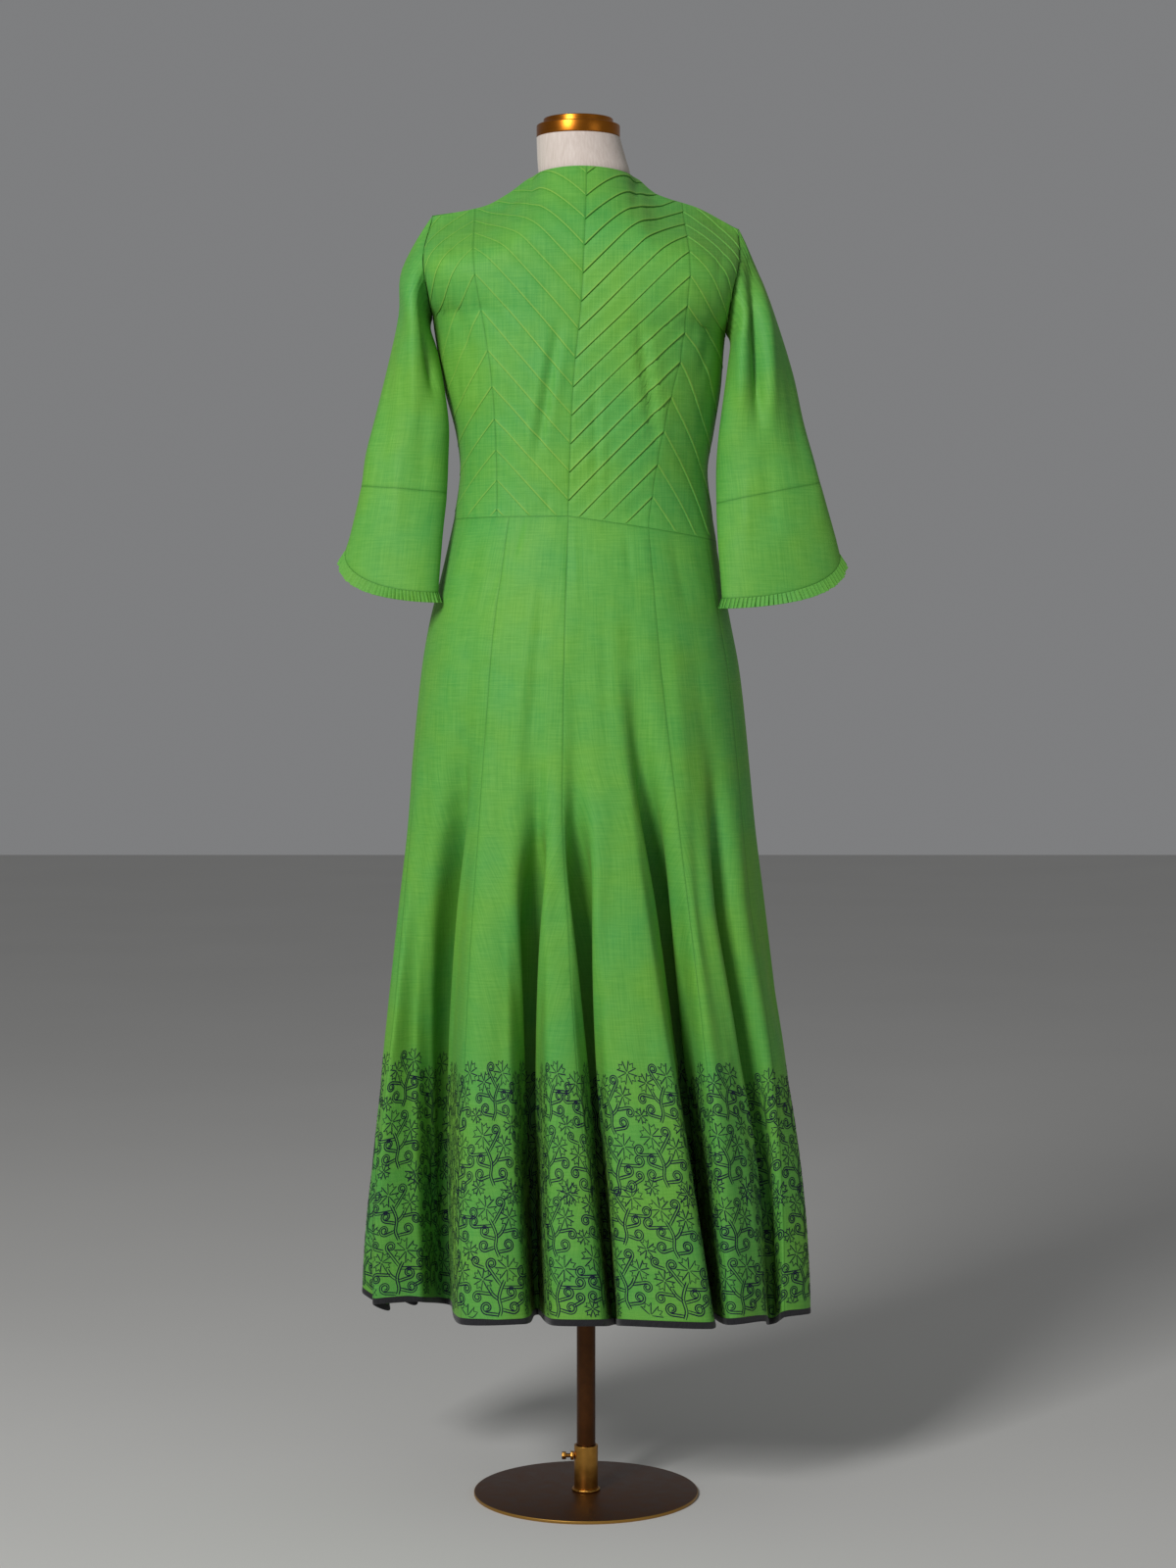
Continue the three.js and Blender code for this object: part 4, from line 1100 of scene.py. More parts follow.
front = front + (lift * inside)[..., None] * body_normal(FRONT, share, z)
front[..., 1] += SEAM / 2
# Painted shade along the top edge, at the neckline and the shoulder seams
top_edge_painted_shade = np.exp(-(((top - z) / 1.2) ** 2)) * 0.6
piece = cloth_piece("bodice_front", front, front[..., 0], front[..., 2], top_edge_painted_shade)
finish_cloth(piece, front, shot_cotton_silk, "stretched", ["form_torso"], "front")


# Skirt. Ten gores of the same cotton silk, cut wide at the hem and sewn side by side, then to the
# bodice at the waist. It hangs from the waist in deep organ-pipe folds that grow towards the hem.
# The seams are pressed open inside, so they show as fine lines.
STEPS_A_POINT = 22
SKIRT_ROWS = 92
FOLD_GROWTH = 1.25
TENSION = 0.3
HEM_AT_RIDGE = 227
HEM_AT_VALLEY = 202
HEM_SIDE_DROP = 10
SIDE_HALF_WIDTH = 260
BINDING_HEIGHT = 8
# The cloth turns in more sharply along each valley's foot. That trough starts half-way from the waist
# to the fold's own start, is kept shallow where the form is behind it, and narrows as it grows.
VALLEY_DEPTH = 35
VALLEY_BY_FORM = 0.15
VALLEY_RAMP = 190
VALLEY_WIDTH = 5.6
VALLEY_NARROWS = 1.3
VALLEY_LIP = 0.09
VALLEY_LIP_AT = 2.6
# Folds round the skirt, in degrees from centre back: where each valley starts and where it ends at
# the hem, then the two shoulders of the fold that follows it
FOLDS = (
    (-92, 560, -238, 76, -253, 34, -198, 30),
    (-44, 955, -166, 104, -143, -106, -70, -114),
    (-16, 800, -57, 48, -38, -124, 20, -128),
    (-3.2, 821, 34, -6, 43, -126, 144, -128),
    (17, 980, 142, 46, 163, -104, 205, -74),
    (51, 700, 217, -6, 231, -46, 264, -12),
    (95, 600, 232, 66, 262, 92, 232, 142),
    (125, 820, 176, 84, 178, 180, 112, 199),
    (156, 760, 78, 104, 52, 207, -12, 209),
    (187.46, 900, -38, 112, -62, 206, -122, 196),
    (216, 720, -136, 106, -160, 188, -214, 168),
    (245, 640, -208, 104, -262, 152, -272, 108),
)
# Gore seams, counted in points round the skirt, three to a fold
GORE_SEAMS = (1, 4, 8, 13, 16, 20, 23, 27, 30, 34)
# Soft folds of the skirt's back, in the bodice's terms
SKIRT_BACK_FOLDS = (
    (-70, 1150, -85, 1096, 4, -1.3),
    (-62, 1150, -74, 1100, 4, 0.9),
    (-92, 1096, -122, 1042, 6, -1.2),
    (-22, 1146, -20, 1040, 4, -0.9),
    (-14, 1146, -9, 1050, 4, 0.7),
    (44, 1140, 52, 1060, 5, -1.1),
    (60, 1138, 72, 1070, 5, 0.8),
    (96, 1132, 118, 1030, 6, -1.2),
    (112, 1130, 140, 1040, 7, 0.9),
    (-120, 1148, -150, 1000, 8, -1.4),
    (-133, 1148, -168, 1010, 8, 1.1),
    (-44, 1110, -72, 820, 8, -2.0),
    (-56, 1090, -92, 760, 10, 1.6),
    (18, 1080, 26, 840, 8, -1.5),
    (78, 1070, 106, 780, 9, -1.8),
    (92, 1060, 126, 760, 10, 1.4),
    (118, 1040, 158, 740, 9, -1.6),
    (-112, 1020, -150, 660, 10, -2.2),
    (-92, 700, -104, 330, 9, -1.8),
    (-122, 640, -134, 300, 9, 1.5),
    (-4, 700, -6, 330, 8, -1.2),
    (66, 640, 78, 300, 9, -1.8),
    (98, 620, 112, 280, 10, 1.6),
    (172, 660, 186, 300, 8, -1.6),
)
SKIRT_FRONT_FOLDS = (
    (-60, 1120, -84, 760, 9, -1.8),
    (8, 1110, 14, 800, 8, -1.4),
    (74, 1120, 104, 780, 9, -1.6),
    (-150, 980, -186, 560, 10, -1.8),
    (150, 960, 184, 580, 10, -1.6),
    (-90, 620, -98, 320, 9, 1.4),
    (82, 620, 84, 320, 9, -1.5),
)


def cone_xy(turn, z):
    """The smooth cone that the cloth would hang in without folds."""
    across = np.sin(np.radians(turn))
    at_back = np.cos(np.radians(turn)) > 0
    x = half_width(across < 0, np.minimum(z, WAIST_TOP - 0.001)) * across
    y = np.where(at_back, -cone_back(z), cone_front(z)) * section_round(across)
    return np.stack(np.broadcast_arrays(x, y), axis=-1)


def waist_at(turn):
    return height_where(waist_height, lambda z: cone_xy(turn, z + 0 * turn)[..., 0], WAIST_TOP) - SEAM


controls = []
for k, (turn, start, valley_x, valley_y, left_x, left_y, right_x, right_y) in enumerate(FOLDS):
    after = FOLDS[(k + 1) % len(FOLDS)]
    span = (after[0] - turn) % 360
    turn += 360 if turn < -92 else 0
    controls.append((turn, start, valley_x, valley_y, HEM_AT_VALLEY))
    for step, begins, x, y in ((1, start, left_x, left_y), (2, after[1], right_x, right_y)):
        hem = HEM_AT_RIDGE - HEM_SIDE_DROP * (x / SIDE_HALF_WIDTH) ** 2
        controls.append((turn + span * step / 3, begins, x, y, hem))
controls = np.array(controls, float)
control_waists = waist_at(controls[:, 0])


def along_controls(values, around):
    """A smooth closed curve through one value for each control point, at places counted round them."""
    count = len(controls)
    i = np.floor(around).astype(int)
    t = around - i
    t = t.reshape((1,) * (values.ndim - 1) + (-1,)) if values.ndim > 1 else t
    before, here, after, beyond = (values[..., (i + step) % count] for step in (-1, 0, 1, 2))
    return smooth_step(here, after, (after - before) * TENSION, (beyond - here) * TENSION, t)


def skirt_surface(around, up):
    """The skirt's outside and the direction out of it. up runs from 0 at the hem to 1 at the waist."""
    up = np.asarray(up, float)[:, None]
    turns, starts, hem_x, hem_y, hems = controls.T
    heights = hems + (control_waists - hems) * up
    grown = np.clip((starts - heights) / (starts - hems), 0, 1) ** FOLD_GROWTH
    shift = (np.stack([hem_x, hem_y], axis=-1) - cone_xy(turns, heights)) * grown[..., None]
    whole_turns = np.append(turns, turns[0] + 360)
    lap = np.floor(around / len(turns))
    turn = np.interp(around - lap * len(turns), np.arange(len(whole_turns)), whole_turns) + lap * 360
    hem = along_controls(hems, around)
    z = hem + (waist_at(turn) - hem) * up
    xy = cone_xy(turn, z)
    xy = xy + np.stack([along_controls(shift[..., axis], around) for axis in (0, 1)], axis=-1)
    points = np.concatenate([xy, z[..., None]], axis=-1)
    across = np.roll(points, -1, axis=1) - np.roll(points, 1, axis=1)
    normal = np.cross(across, np.gradient(points, axis=0))
    return points, normal / np.linalg.norm(normal, axis=-1, keepdims=True)


def round_length(points):
    """The length round the skirt from its first column, and all round, for each row."""
    steps = np.linalg.norm(np.diff(points, axis=1, append=points[:, :1]), axis=-1)
    length = np.cumsum(steps, axis=1)
    return np.concatenate([np.zeros((len(points), 1)), length[:, :-1]], axis=1), length[:, -1]


seams_at = np.array(GORE_SEAMS, float)
near_seams = [seams_at + aside for aside in (-0.03, -0.012, 0, 0.012, 0.03)]
around = np.arange(len(controls) * STEPS_A_POINT) / STEPS_A_POINT
clear_of_seams = np.abs(around[:, None] - seams_at).min(axis=1) > 0.036
around = np.sort(np.concatenate([around[clear_of_seams], *near_seams]))
seam_columns = np.searchsorted(around, seams_at - 1e-6)

skirt_length = WAIST_TOP - HEM_AT_RIDGE
cloth_from = (BINDING_HEIGHT - 1) / skirt_length
rows_up = cloth_from + (1 - cloth_from) * np.linspace(0, 1, SKIRT_ROWS) ** 1.12
skirt, skirt_normal = skirt_surface(around, rows_up)
length_round, whole_round = round_length(skirt)
seam_lengths = length_round[:, seam_columns]
to_seam = np.abs(length_round[:, :, None] - seam_lengths[:, None, :])
to_seam = np.minimum(to_seam, whole_round[:, None, None] - to_seam).min(axis=-1)
groove, seam_painted_shade = seam_groove(to_seam)
valley_columns = np.searchsorted(around, 3 * np.arange(len(FOLDS)) - 1e-6)
at_back = np.clip(-skirt_normal[..., 1] * 1.6, 0, 1)
at_front = np.clip(skirt_normal[..., 1] * 1.6, 0, 1)
swell = unevenness(skirt[..., 0] / 26 + skirt[..., 1] / 41, skirt[..., 2] / 190, 3)
by_waist = np.clip((rows_up - 0.93) / 0.06, 0, 1)[:, None]
pucker = unevenness(skirt[..., 0] / 9, skirt[..., 2] / 42, 6) * by_waist
lift = 0.75 * groove + 0.9 * swell + 0.28 * pucker
for column, (_, start, *_) in zip(valley_columns, FOLDS):
    height = skirt[:, column, 2][:, None]
    start = (start + WAIST_TOP) / 2
    grown = np.clip((start - height) / (start - HEM_AT_VALLEY), 0, 1)
    apart = np.abs(length_round - length_round[:, column : column + 1])
    apart = np.minimum(apart, whole_round[:, None] - apart)
    below_form = np.clip((FORM_BOTTOM - height) / VALLEY_RAMP, 0, 1)
    sunk = VALLEY_DEPTH * np.sin(np.pi * grown**0.75) * smooth_step(VALLEY_BY_FORM, 1, 0, 0, below_form)
    widths_off = apart / (VALLEY_WIDTH * (1 + VALLEY_NARROWS * (1 - grown)))
    lip = VALLEY_LIP * np.exp(-((widths_off - VALLEY_LIP_AT) ** 2))
    lift -= sunk * (np.exp(-(widths_off**2)) - lip)
lift = lift + soft_folds(skirt, SKIRT_BACK_FOLDS) * at_back + soft_folds(skirt, SKIRT_FRONT_FOLDS) * at_front
lift = lift * np.clip((1 - rows_up) / 0.012, 0, 1)[:, None]
skirt = skirt + lift[..., None] * skirt_normal


def gore_columns(k):
    """The column numbers from a gore's first seam to its next, both counted in."""
    first = seam_columns[k]
    last = seam_columns[(k + 1) % len(GORE_SEAMS)]
    last += len(around) if last <= first else 0
    return np.arange(first, last + 1) % len(around)


def part_seams(grid):
    """Draws a panel's two edges in by half the gap that is left at a seam."""
    grid = grid.copy()
    for edge, inner in ((0, 1), (-1, -2)):
        inward = grid[:, inner] - grid[:, edge]
        grid[:, edge] += inward / np.linalg.norm(inward, axis=-1, keepdims=True) * SEAM / 2
    return grid


for k in range(len(GORE_SEAMS)):
    columns = gore_columns(k)
    # The top of each gore takes painted shade along the waist seam
    gore, shade = shaded_end(part_seams(skirt[:, columns]), seam_painted_shade[:, columns], False, 0.6)
    across = steps_along(gore, 1)
    across = across - across[:, -1:] / 2
    gore_piece = cloth_piece(f"gore_{k + 1:02d}", gore, across, gore[..., 2], shade)
    finish_cloth(gore_piece, gore, shot_cotton_silk, "hung", ["bodice_front"], f"skirt_gore_{k + 1:02d}")


# Hem binding. A folded tape of black cotton over the cut edge of each gore, stitched through near its
# top, where it is drawn in a little.
TAPE_CLOTH = 0.35
# The tape's section, from the inside of the hem round its edge to the outside: depth and height
TAPE_SECTION = (
    (1.75, 8.1),
    (2.05, 7.0),
    (1.8, 6.2),
    (2.1, 4.5),
    (2.1, 1.4),
    (1.6, 0.3),
    (0.75, 0.0),
    (-0.1, 0.3),
    (-0.6, 1.4),
    (-0.65, 4.5),
    (-0.3, 6.2),
    (-0.55, 7.0),
    (-0.25, 8.1),
)

# Black cotton tape: matt, a fine upright rib, a trace of lint
black_cotton, tree = empty_material("black cotton tape")
weave = add_node(tree, "Attribute", {}, attribute_name="weave").outputs["Vector"]
rib_space = add_node(tree, "Mapping", {"Vector": weave, "Scale": (900, 120, 1)})
ribs = add_node(tree, "TexNoise", {"Vector": rib_space.outputs[0], "Scale": 1, "Detail": 2})
black = add_node(
    tree,
    "Mix",
    {0: ribs.outputs["Fac"], 6: srgb("#0B0B0E"), 7: srgb("#2A2A2E")},
    data_type="RGBA",
)
ribbed = add_node(tree, "Bump", {"Height": ribs.outputs["Fac"], "Strength": 0.5, "Distance": 0.0004})
shader = add_node(
    tree,
    "BsdfPrincipled",
    {
        "Base Color": black.outputs[2],
        "Roughness": 0.85,
        "Specular IOR Level": 0.3,
        "Sheen Weight": 0.15,
        "Normal": ribbed.outputs[0],
    },
)
add_node(tree, "OutputMaterial", {"Surface": shader.outputs["BSDF"]})

section_depth, section_height = np.array(TAPE_SECTION, float).T
tape_order = np.argsort(section_height, kind="stable")
tape_rows = section_height[tape_order] / skirt_length + 1e-6 * np.arange(len(tape_order))
tape_points, tape_normal = skirt_surface(around, tape_rows)
back_in_order = np.argsort(tape_order)
tape = tape_points[back_in_order] - section_depth[:, None, None] * tape_normal[back_in_order]
for k in range(len(GORE_SEAMS)):
    columns = gore_columns(k)
    length = part_seams(tape[:, columns])
    across = steps_along(length, 1)
    up_tape = steps_along(length, 0)
    number = f"{k + 1:02d}"
    tape_piece = cloth_piece(f"tape_{number}", length, across, up_tape, 0, thickness=TAPE_CLOTH)
    tape_on = [f"gore_{number}"]
    binding = f"hem_binding_{number}"
    finish_cloth(tape_piece, length, black_cotton, "folded", tape_on, binding, slot="hem_tape")


# Hem print. Two rows of a hand-cut wood block, stamped in navy-black above the hem with a half step
# between them, so its top edge is uneven. The block is drawn here from scrolls, spirals and flowers
# of its own layout. Ink lines are 1.2 mm wide and lie on the cloth as thin ribbons.
BLOCK_WIDTH = 128
BLOCK_HEIGHT = 142
PRINT_FROM = BINDING_HEIGHT + 1.5
INK_HALF_WIDTH = 0.6
INK_GAP = 1.5
CURL_GAP = INK_GAP * 0.7
INK_PROUD = 0.4
LINE_STEP = 2.8
CURL_SHRINK = 0.62
# How far the printer's hand strays: up or down, in degrees, and in pressure
STRAY = 2.5
STRAY_TURN = 0.8
STRAY_PRESSURE = 0.18
# Line ends are narrower, by this share
LINE_END = 0.55
# The sprig that the block repeats: a bent stem with curls on both sides and two toothed flowers.
# Stems by points that they run through, across and up from the sprig's foot
SPRIG_STEMS = (
    ((0, -8), (3, 4), (0, 17), (2, 28), (6, 38)),
    ((-1, 16), (-8, 21), (-13, 28)),
)
# Curls: where each leaves its stem, its middle, its radius, its turns, and 1 to turn left, -1 right
SPRIG_CURLS = (
    (5, 4, 18, 8, 6.4, 1.05, 1),
    (2, 14, 14, 25, 6.2, 1.05, 1),
    (0, -2, -14, 5, 6.6, 1.05, -1),
    (4, 30, 28, 38, 6.4, 1.05, 1),
    (-9, 21, -26, 16, 5.8, 1.05, 1),
    (1, 33, -11, 56, 6.0, 1.05, -1),
)
# Flowers: middle, size, turn in degrees and petals
SPRIG_FLOWERS = (
    (9, 52, 14.0, 28, 4),
    (-21, 37, 11.5, 60, 4),
)
# Where the block has its sprigs: foot across and up, turn in degrees, size, and 1 or -1 to mirror
SPRIGS = (
    (30, 4, -5, 1.0, 1),
    (95, 18, 6, 0.98, -1),
    (33, 76, 7, 0.96, -1),
    (98, 92, -8, 0.94, 1),
)
# Loose flowers and curls that fill the gaps between the sprigs
LOOSE_FLOWERS = (
    (119, 4, 13.5, 20, 4),
    (58, 140, 13.0, 50, 4),
    (124, 80, 10.5, 10, 4),
    (74, 9, 9.0, 45, 4),
    (71, 91, 8.5, 30, 4),
)
LOOSE_CURLS = (
    (52, 12, 60, 22, 5.0, 1.05, 1),
    (14, 56, 4, 64, 4.6, 1.05, -1),
)
# One side of a petal with its toothed tip: share of the length out, share of the width aside
PETAL_SIDE = (
    (0.1, 0.06),
    (0.5, 0.26),
    (0.98, 0.5),
    (0.78, 0.2),
    (1.12, 0.0),
)


def curve_through(points):
    """A smooth line through given points, sampled at even steps."""
    points = np.array(points, float)
    ends = np.vstack([2 * points[0] - points[1], points, 2 * points[-1] - points[-2]])
    t = np.linspace(0, 1, 24, endpoint=False)[:, None]
    parts = []
    for before, here, after, beyond in zip(ends, ends[1:], ends[2:], ends[3:]):
        parts.append(smooth_step(here, after, (after - before) / 2, (beyond - here) / 2, t))
    fine = np.vstack([*parts, points[-1:]])
    reach = np.append(0, np.cumsum(np.linalg.norm(np.diff(fine, axis=0), axis=1)))
    even = np.linspace(0, reach[-1], max(3, int(reach[-1] / LINE_STEP) + 1))
    return np.stack([np.interp(even, reach, fine[:, axis]) for axis in (0, 1)], axis=-1)


def sideways(line):
    """Unit steps to the left of a line, at each of its points."""
    run = np.gradient(line, axis=0)
    run /= np.maximum(np.linalg.norm(run, axis=1, keepdims=True), 1e-9)
    return np.stack([-run[:, 1], run[:, 0]], axis=-1)


def doubled(line, gap_at_end=INK_GAP):
    """Two ink lines that run side by side."""
    gap = np.linspace(INK_GAP, gap_at_end, len(line))[:, None]
    return [line + sideways(line) * gap, line - sideways(line) * gap]


def spiral_line(leaves_x, leaves_y, middle_x, middle_y, radius, turns, hand):
    """A line from a stem that meets a circle smoothly and winds in towards its middle."""
    away = np.array([leaves_x - middle_x, leaves_y - middle_y], float)
    distance = max(np.hypot(*away), radius * 1.05)
    meets = math.atan2(away[1], away[0]) + hand * math.acos(radius / distance)
    turned = np.linspace(0, 1, 18)
    angle = meets + hand * turned * turns * 2 * math.pi
    shrinking = radius * (1 - CURL_SHRINK * turned)
    winding = np.stack([middle_x + shrinking * np.cos(angle), middle_y + shrinking * np.sin(angle)], axis=-1)
    start = np.array([[leaves_x, leaves_y]], float)
    lead = start + (winding[:1] - start) * np.linspace(0, 0.8, 4)[:, None]
    return np.vstack([lead, winding])


def spun(turn):
    """What turns rows of flat points by an angle."""
    return np.array([[math.cos(turn), math.sin(turn)], [-math.sin(turn), math.cos(turn)]])


def flower_lines(x, y, size, turn, petals):
    """A flower's petals, each from its foot out round its three teeth and back."""
    out, aside = np.array(PETAL_SIDE).T
    outline = np.vstack([np.stack([out, aside], axis=-1), np.stack([out, -aside], axis=-1)[-2::-1]])
    turns = [math.radians(turn + petal * 360 / petals) for petal in range(petals)]
    return [outline @ spun(each) * size + (x, y) for each in turns]


def placed(lines, x, y, turn, size, mirror):
    """Lines turned, sized and moved to their place in the block."""
    return [line * (size * mirror, size) @ spun(math.radians(turn)) + (x, y) for line in lines]


sprig = []
for points in SPRIG_STEMS:
    sprig += doubled(curve_through(points))
for curl in SPRIG_CURLS:
    sprig += doubled(spiral_line(*curl), CURL_GAP)
for flower in SPRIG_FLOWERS:
    sprig += flower_lines(*flower)
block = []
for place_in_block in SPRIGS:
    block += placed(sprig, *place_in_block)
for curl in LOOSE_CURLS:
    block += doubled(spiral_line(*curl), CURL_GAP)
for flower in LOOSE_FLOWERS:
    block += flower_lines(*flower)

# Where the print lies: the hem's length is measured flat, seam by seam, and followed up the folds
lengths, whole = round_length(skirt)
hem_flat = np.append(lengths[0, seam_columns], lengths[0, seam_columns[0]] + whole[0])
row_heights = rows_up * skirt_length
print_rows = int(np.searchsorted(row_heights, 2 * BLOCK_HEIGHT + 40)) + 1


def on_skirt(flat):
    """Points of the skirt's surface for points that are given flat, across and up from the hem."""
    across, height = flat.T
    row = np.interp(height, row_heights, np.arange(len(row_heights)))
    low = np.clip(row.astype(int), 0, print_rows)
    places = np.zeros((2, len(flat)))
    for r in range(print_rows + 2):
        seams_here = np.append(lengths[r, seam_columns], lengths[r, seam_columns[0]] + whole[r])
        wanted = np.interp(across, hem_flat, seams_here)
        number = np.interp(wanted, np.append(lengths[r], lengths[r] + whole[r]), np.arange(2 * len(around)))
        for edge in (0, 1):
            places[edge] = np.where(low + edge == r, number, places[edge])
    found = []
    for edge in (0, 1):
        column = places[edge].astype(int)
        part = (places[edge] - column)[:, None]
        after = (column + 1) % len(around)
        column = column % len(around)
        for grid in (skirt, skirt_normal):
            found.append(grid[low + edge, column] * (1 - part) + grid[low + edge, after] * part)
    up = (row - low)[:, None]
    points = found[0] * (1 - up) + found[2] * up
    normal = found[1] * (1 - up) + found[3] * up
    return points + INK_PROUD * normal / np.linalg.norm(normal, axis=-1, keepdims=True)


ink_vertices = []
ink_faces = []
face_places = []
count = 0
blocks_round = int(round(whole[0] / BLOCK_WIDTH))
pitch = whole[0] / blocks_round
for level in (0, 1):
    for k in range(blocks_round):
        slip = STRAY * math.sin(k * 2.3 + level * 1.1)
        tilt = math.radians(STRAY_TURN * math.sin(k * 1.7 + level * 2.9))
        corner = np.array([hem_flat[0] + (k + level * 0.5) * pitch, PRINT_FROM + level * BLOCK_HEIGHT + slip])
        for number, line in enumerate(block):
            line = line * (pitch / BLOCK_WIDTH, 1) @ spun(tilt) + corner
            kept = line[:, 1] > PRINT_FROM
            if kept.sum() < 3 or not kept[len(kept) // 2]:
                continue
            line = line[kept]
            pressure = 1 + STRAY_PRESSURE * math.sin(number * 2.1 + k)
            half = INK_HALF_WIDTH * pressure * np.ones((len(line), 1))
            half[[0, -1]] *= LINE_END
            aside = sideways(line) * half
            pair = np.stack([line - aside, line + aside], axis=1).reshape(-1, 2)
            ink_vertices.append(pair)
            steps = count + 2 * np.arange(len(line) - 1)[:, None]
            ink_faces.append(steps + np.array([0, 2, 3, 1]))
            face_places.append(np.full(len(line) - 1, line[:, 0].mean()))
            count += len(pair)
flat = np.vstack(ink_vertices)
ink_faces = np.vstack(ink_faces)
face_places = (np.concatenate(face_places) - hem_flat[0]) % whole[0] + hem_flat[0]
flat[:, 0] = (flat[:, 0] - hem_flat[0]) % whole[0] + hem_flat[0]
ink_points = on_skirt(flat)

# Block-printing ink in cotton silk: navy-black, matt, thinner where the block pressed less
navy_ink, tree = empty_material("navy block ink")
place = add_node(tree, "TexCoord", {}).outputs["Object"]
press = add_node(tree, "TexNoise", {"Vector": place, "Scale": 160, "Detail": 3})
inked = add_node(tree, "MapRange", {"Value": press.outputs["Fac"], "From Min": 0.55, "From Max": 0.85})
ink = add_node(tree, "Mix", {0: inked.outputs[0], 6: srgb("#0B1232"), 7: srgb("#1D4038")}, data_type="RGBA")
shader = add_node(
    tree,
    "BsdfPrincipled",
    {"Base Color": ink.outputs[2], "Roughness": 0.7, "Specular IOR Level": 0.25},
)
add_node(tree, "OutputMaterial", {"Surface": shader.outputs["BSDF"]})

for k in range(len(GORE_SEAMS)):
    here = (face_places >= hem_flat[k]) & (face_places < hem_flat[k + 1])
    used, renumbered = np.unique(ink_faces[here], return_inverse=True)
    mesh = bpy.data.meshes.new(f"print_{k + 1:02d}")
    mesh.from_pydata(ink_points[used] * MM, [], renumbered.reshape(-1, 4).tolist())
    tidy_mesh(mesh)
    print_piece = add_piece(mesh)
    print_piece.data.materials.append(navy_ink)
    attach(print_piece, "root")


# Sleeves. Three-quarter bell sleeves of the same cloth, gathered a little into the armholes, each one
# a tube that hangs flat beside the body and widens to a turned cuff band.
SLEEVE_COLUMNS = 96
RING_ROWS = 6
CUFF_RING = 5
ARMHOLE_GAP = 0.3
CUFF_PROUD = 0.3
# Rings down each sleeve: inner end, outer end, half the tube's thickness, how far its hem bends, and
# how far its inner end is drawn in behind the body
LEFT_SLEEVE = (
    (-187, -1, 1368, -213, 0, 1440, 60, 0, 7, -28),
    (-183, -6, 1342, -217, -4, 1386, 55, 0, 11, -28),
    (-176, -12, 1302, -231, -9, 1322, 47, 0, 12, -26),
    (-165, -18, 1258, -245, -14, 1265, 40, 0, 7, -18),
    (-160, -24, 1218, -256, -18, 1222, 35, 0, 1, -6),
    (-161, -34, 1178, -261, -22, 1186, 31, 0, 0, 0),
    (-166, -44, 1130, -270, -26, 1146, 28, 0.4, 0, 0),
    (-171, -54, 1063, -279, -28, 1112, 25, 1, 0, 0),
)
RIGHT_SLEEVE = (
    (178, -1, 1352, 204, 0, 1424, 60, 0, -11, -30),
    (174, -6, 1326, 222, -4, 1376, 55, 0, -10, -28),
    (169, -12, 1290, 240, -9, 1318, 47, 0, -10, -26),
    (158, -18, 1246, 252, -14, 1264, 41, 0, -5, -18),
    (150, -26, 1208, 263, -18, 1222, 36, 0, 0, -5),
    (150, -38, 1166, 271, -22, 1190, 32, 0, 0, 0),
    (152, -50, 1116, 282, -26, 1150, 29, 0.4, 0, 0),
    (157, -60, 1056, 294, -28, 1108, 26, 1, 0, 0),
)
# Folds in each sleeve's back, in the bodice's terms: the long soft one beside the body comes first
LEFT_FOLDS = (
    (-180, 1440, -171, 1262, 10, -15),
    (-200, 1440, -196, 1226, 9, 5),
    (-222, 1390, -236, 1180, 9, -2.6),
    (-186, 1300, -190, 1150, 9, -2.4),
    (-213, 1250, -222, 1100, 9, 1.8),
    (-246, 1280, -258, 1130, 8, 1.5),
    (-204, 1470, -214, 1400, 6, -1.6),
    (-194, 1476, -199, 1400, 5, 1.4),
)
RIGHT_FOLDS = (
    (192, 1462, 199, 1232, 7, -15),
    (206, 1440, 216, 1220, 8, 5),
    (179, 1390, 179, 1240, 7, 4),
    (228, 1380, 250, 1180, 9, -2.8),
    (206, 1250, 214, 1110, 9, -2.2),
    (182, 1230, 184, 1090, 8, 1.8),
    (258, 1270, 274, 1130, 8, 1.6),
    (186, 1466, 190, 1396, 5, -1.4),
    (198, 1462, 206, 1400, 6, 1.6),
)
SLEEVE_FRONT_FOLDS = (
    (-196, 1420, -200, 1280, 8, -4.0),
    (-232, 1350, -246, 1160, 9, -2.2),
    (-190, 1240, -200, 1100, 9, 2.0),
    (196, 1420, 200, 1270, 8, -4.5),
    (238, 1340, 256, 1160, 9, -2.2),
    (186, 1230, 196, 1090, 9, 2.0),
)


def ring_point(is_left, ring, angle):
    """A point of a sleeve's ring. The angle is nought at the outer end and half a turn beside the body."""
    inner, outer = np.array(ring[:3], float), np.array(ring[3:6], float)
    half, bend, *drawn_in = ring[6:]
    out = (1 + np.cos(angle)) / 2
    rise = out + (1 - np.sqrt(np.maximum(0, 1 - out * out)) - out) * bend
    run = (outer - inner)[:2] / np.linalg.norm((outer - inner)[:2])
    aside = np.array([-run[1], run[0]]) * (-1 if is_left else 1)
    xy = inner[:2] + (outer - inner)[:2] * out[..., None] + aside * half * np.sin(angle)[..., None]
    xy = xy + np.array(drawn_in) * ((1 - out) ** 2.5)[..., None]
    z = inner[2] + (outer - inner)[2] * rise
    return np.concatenate([xy, z[..., None]], axis=-1)


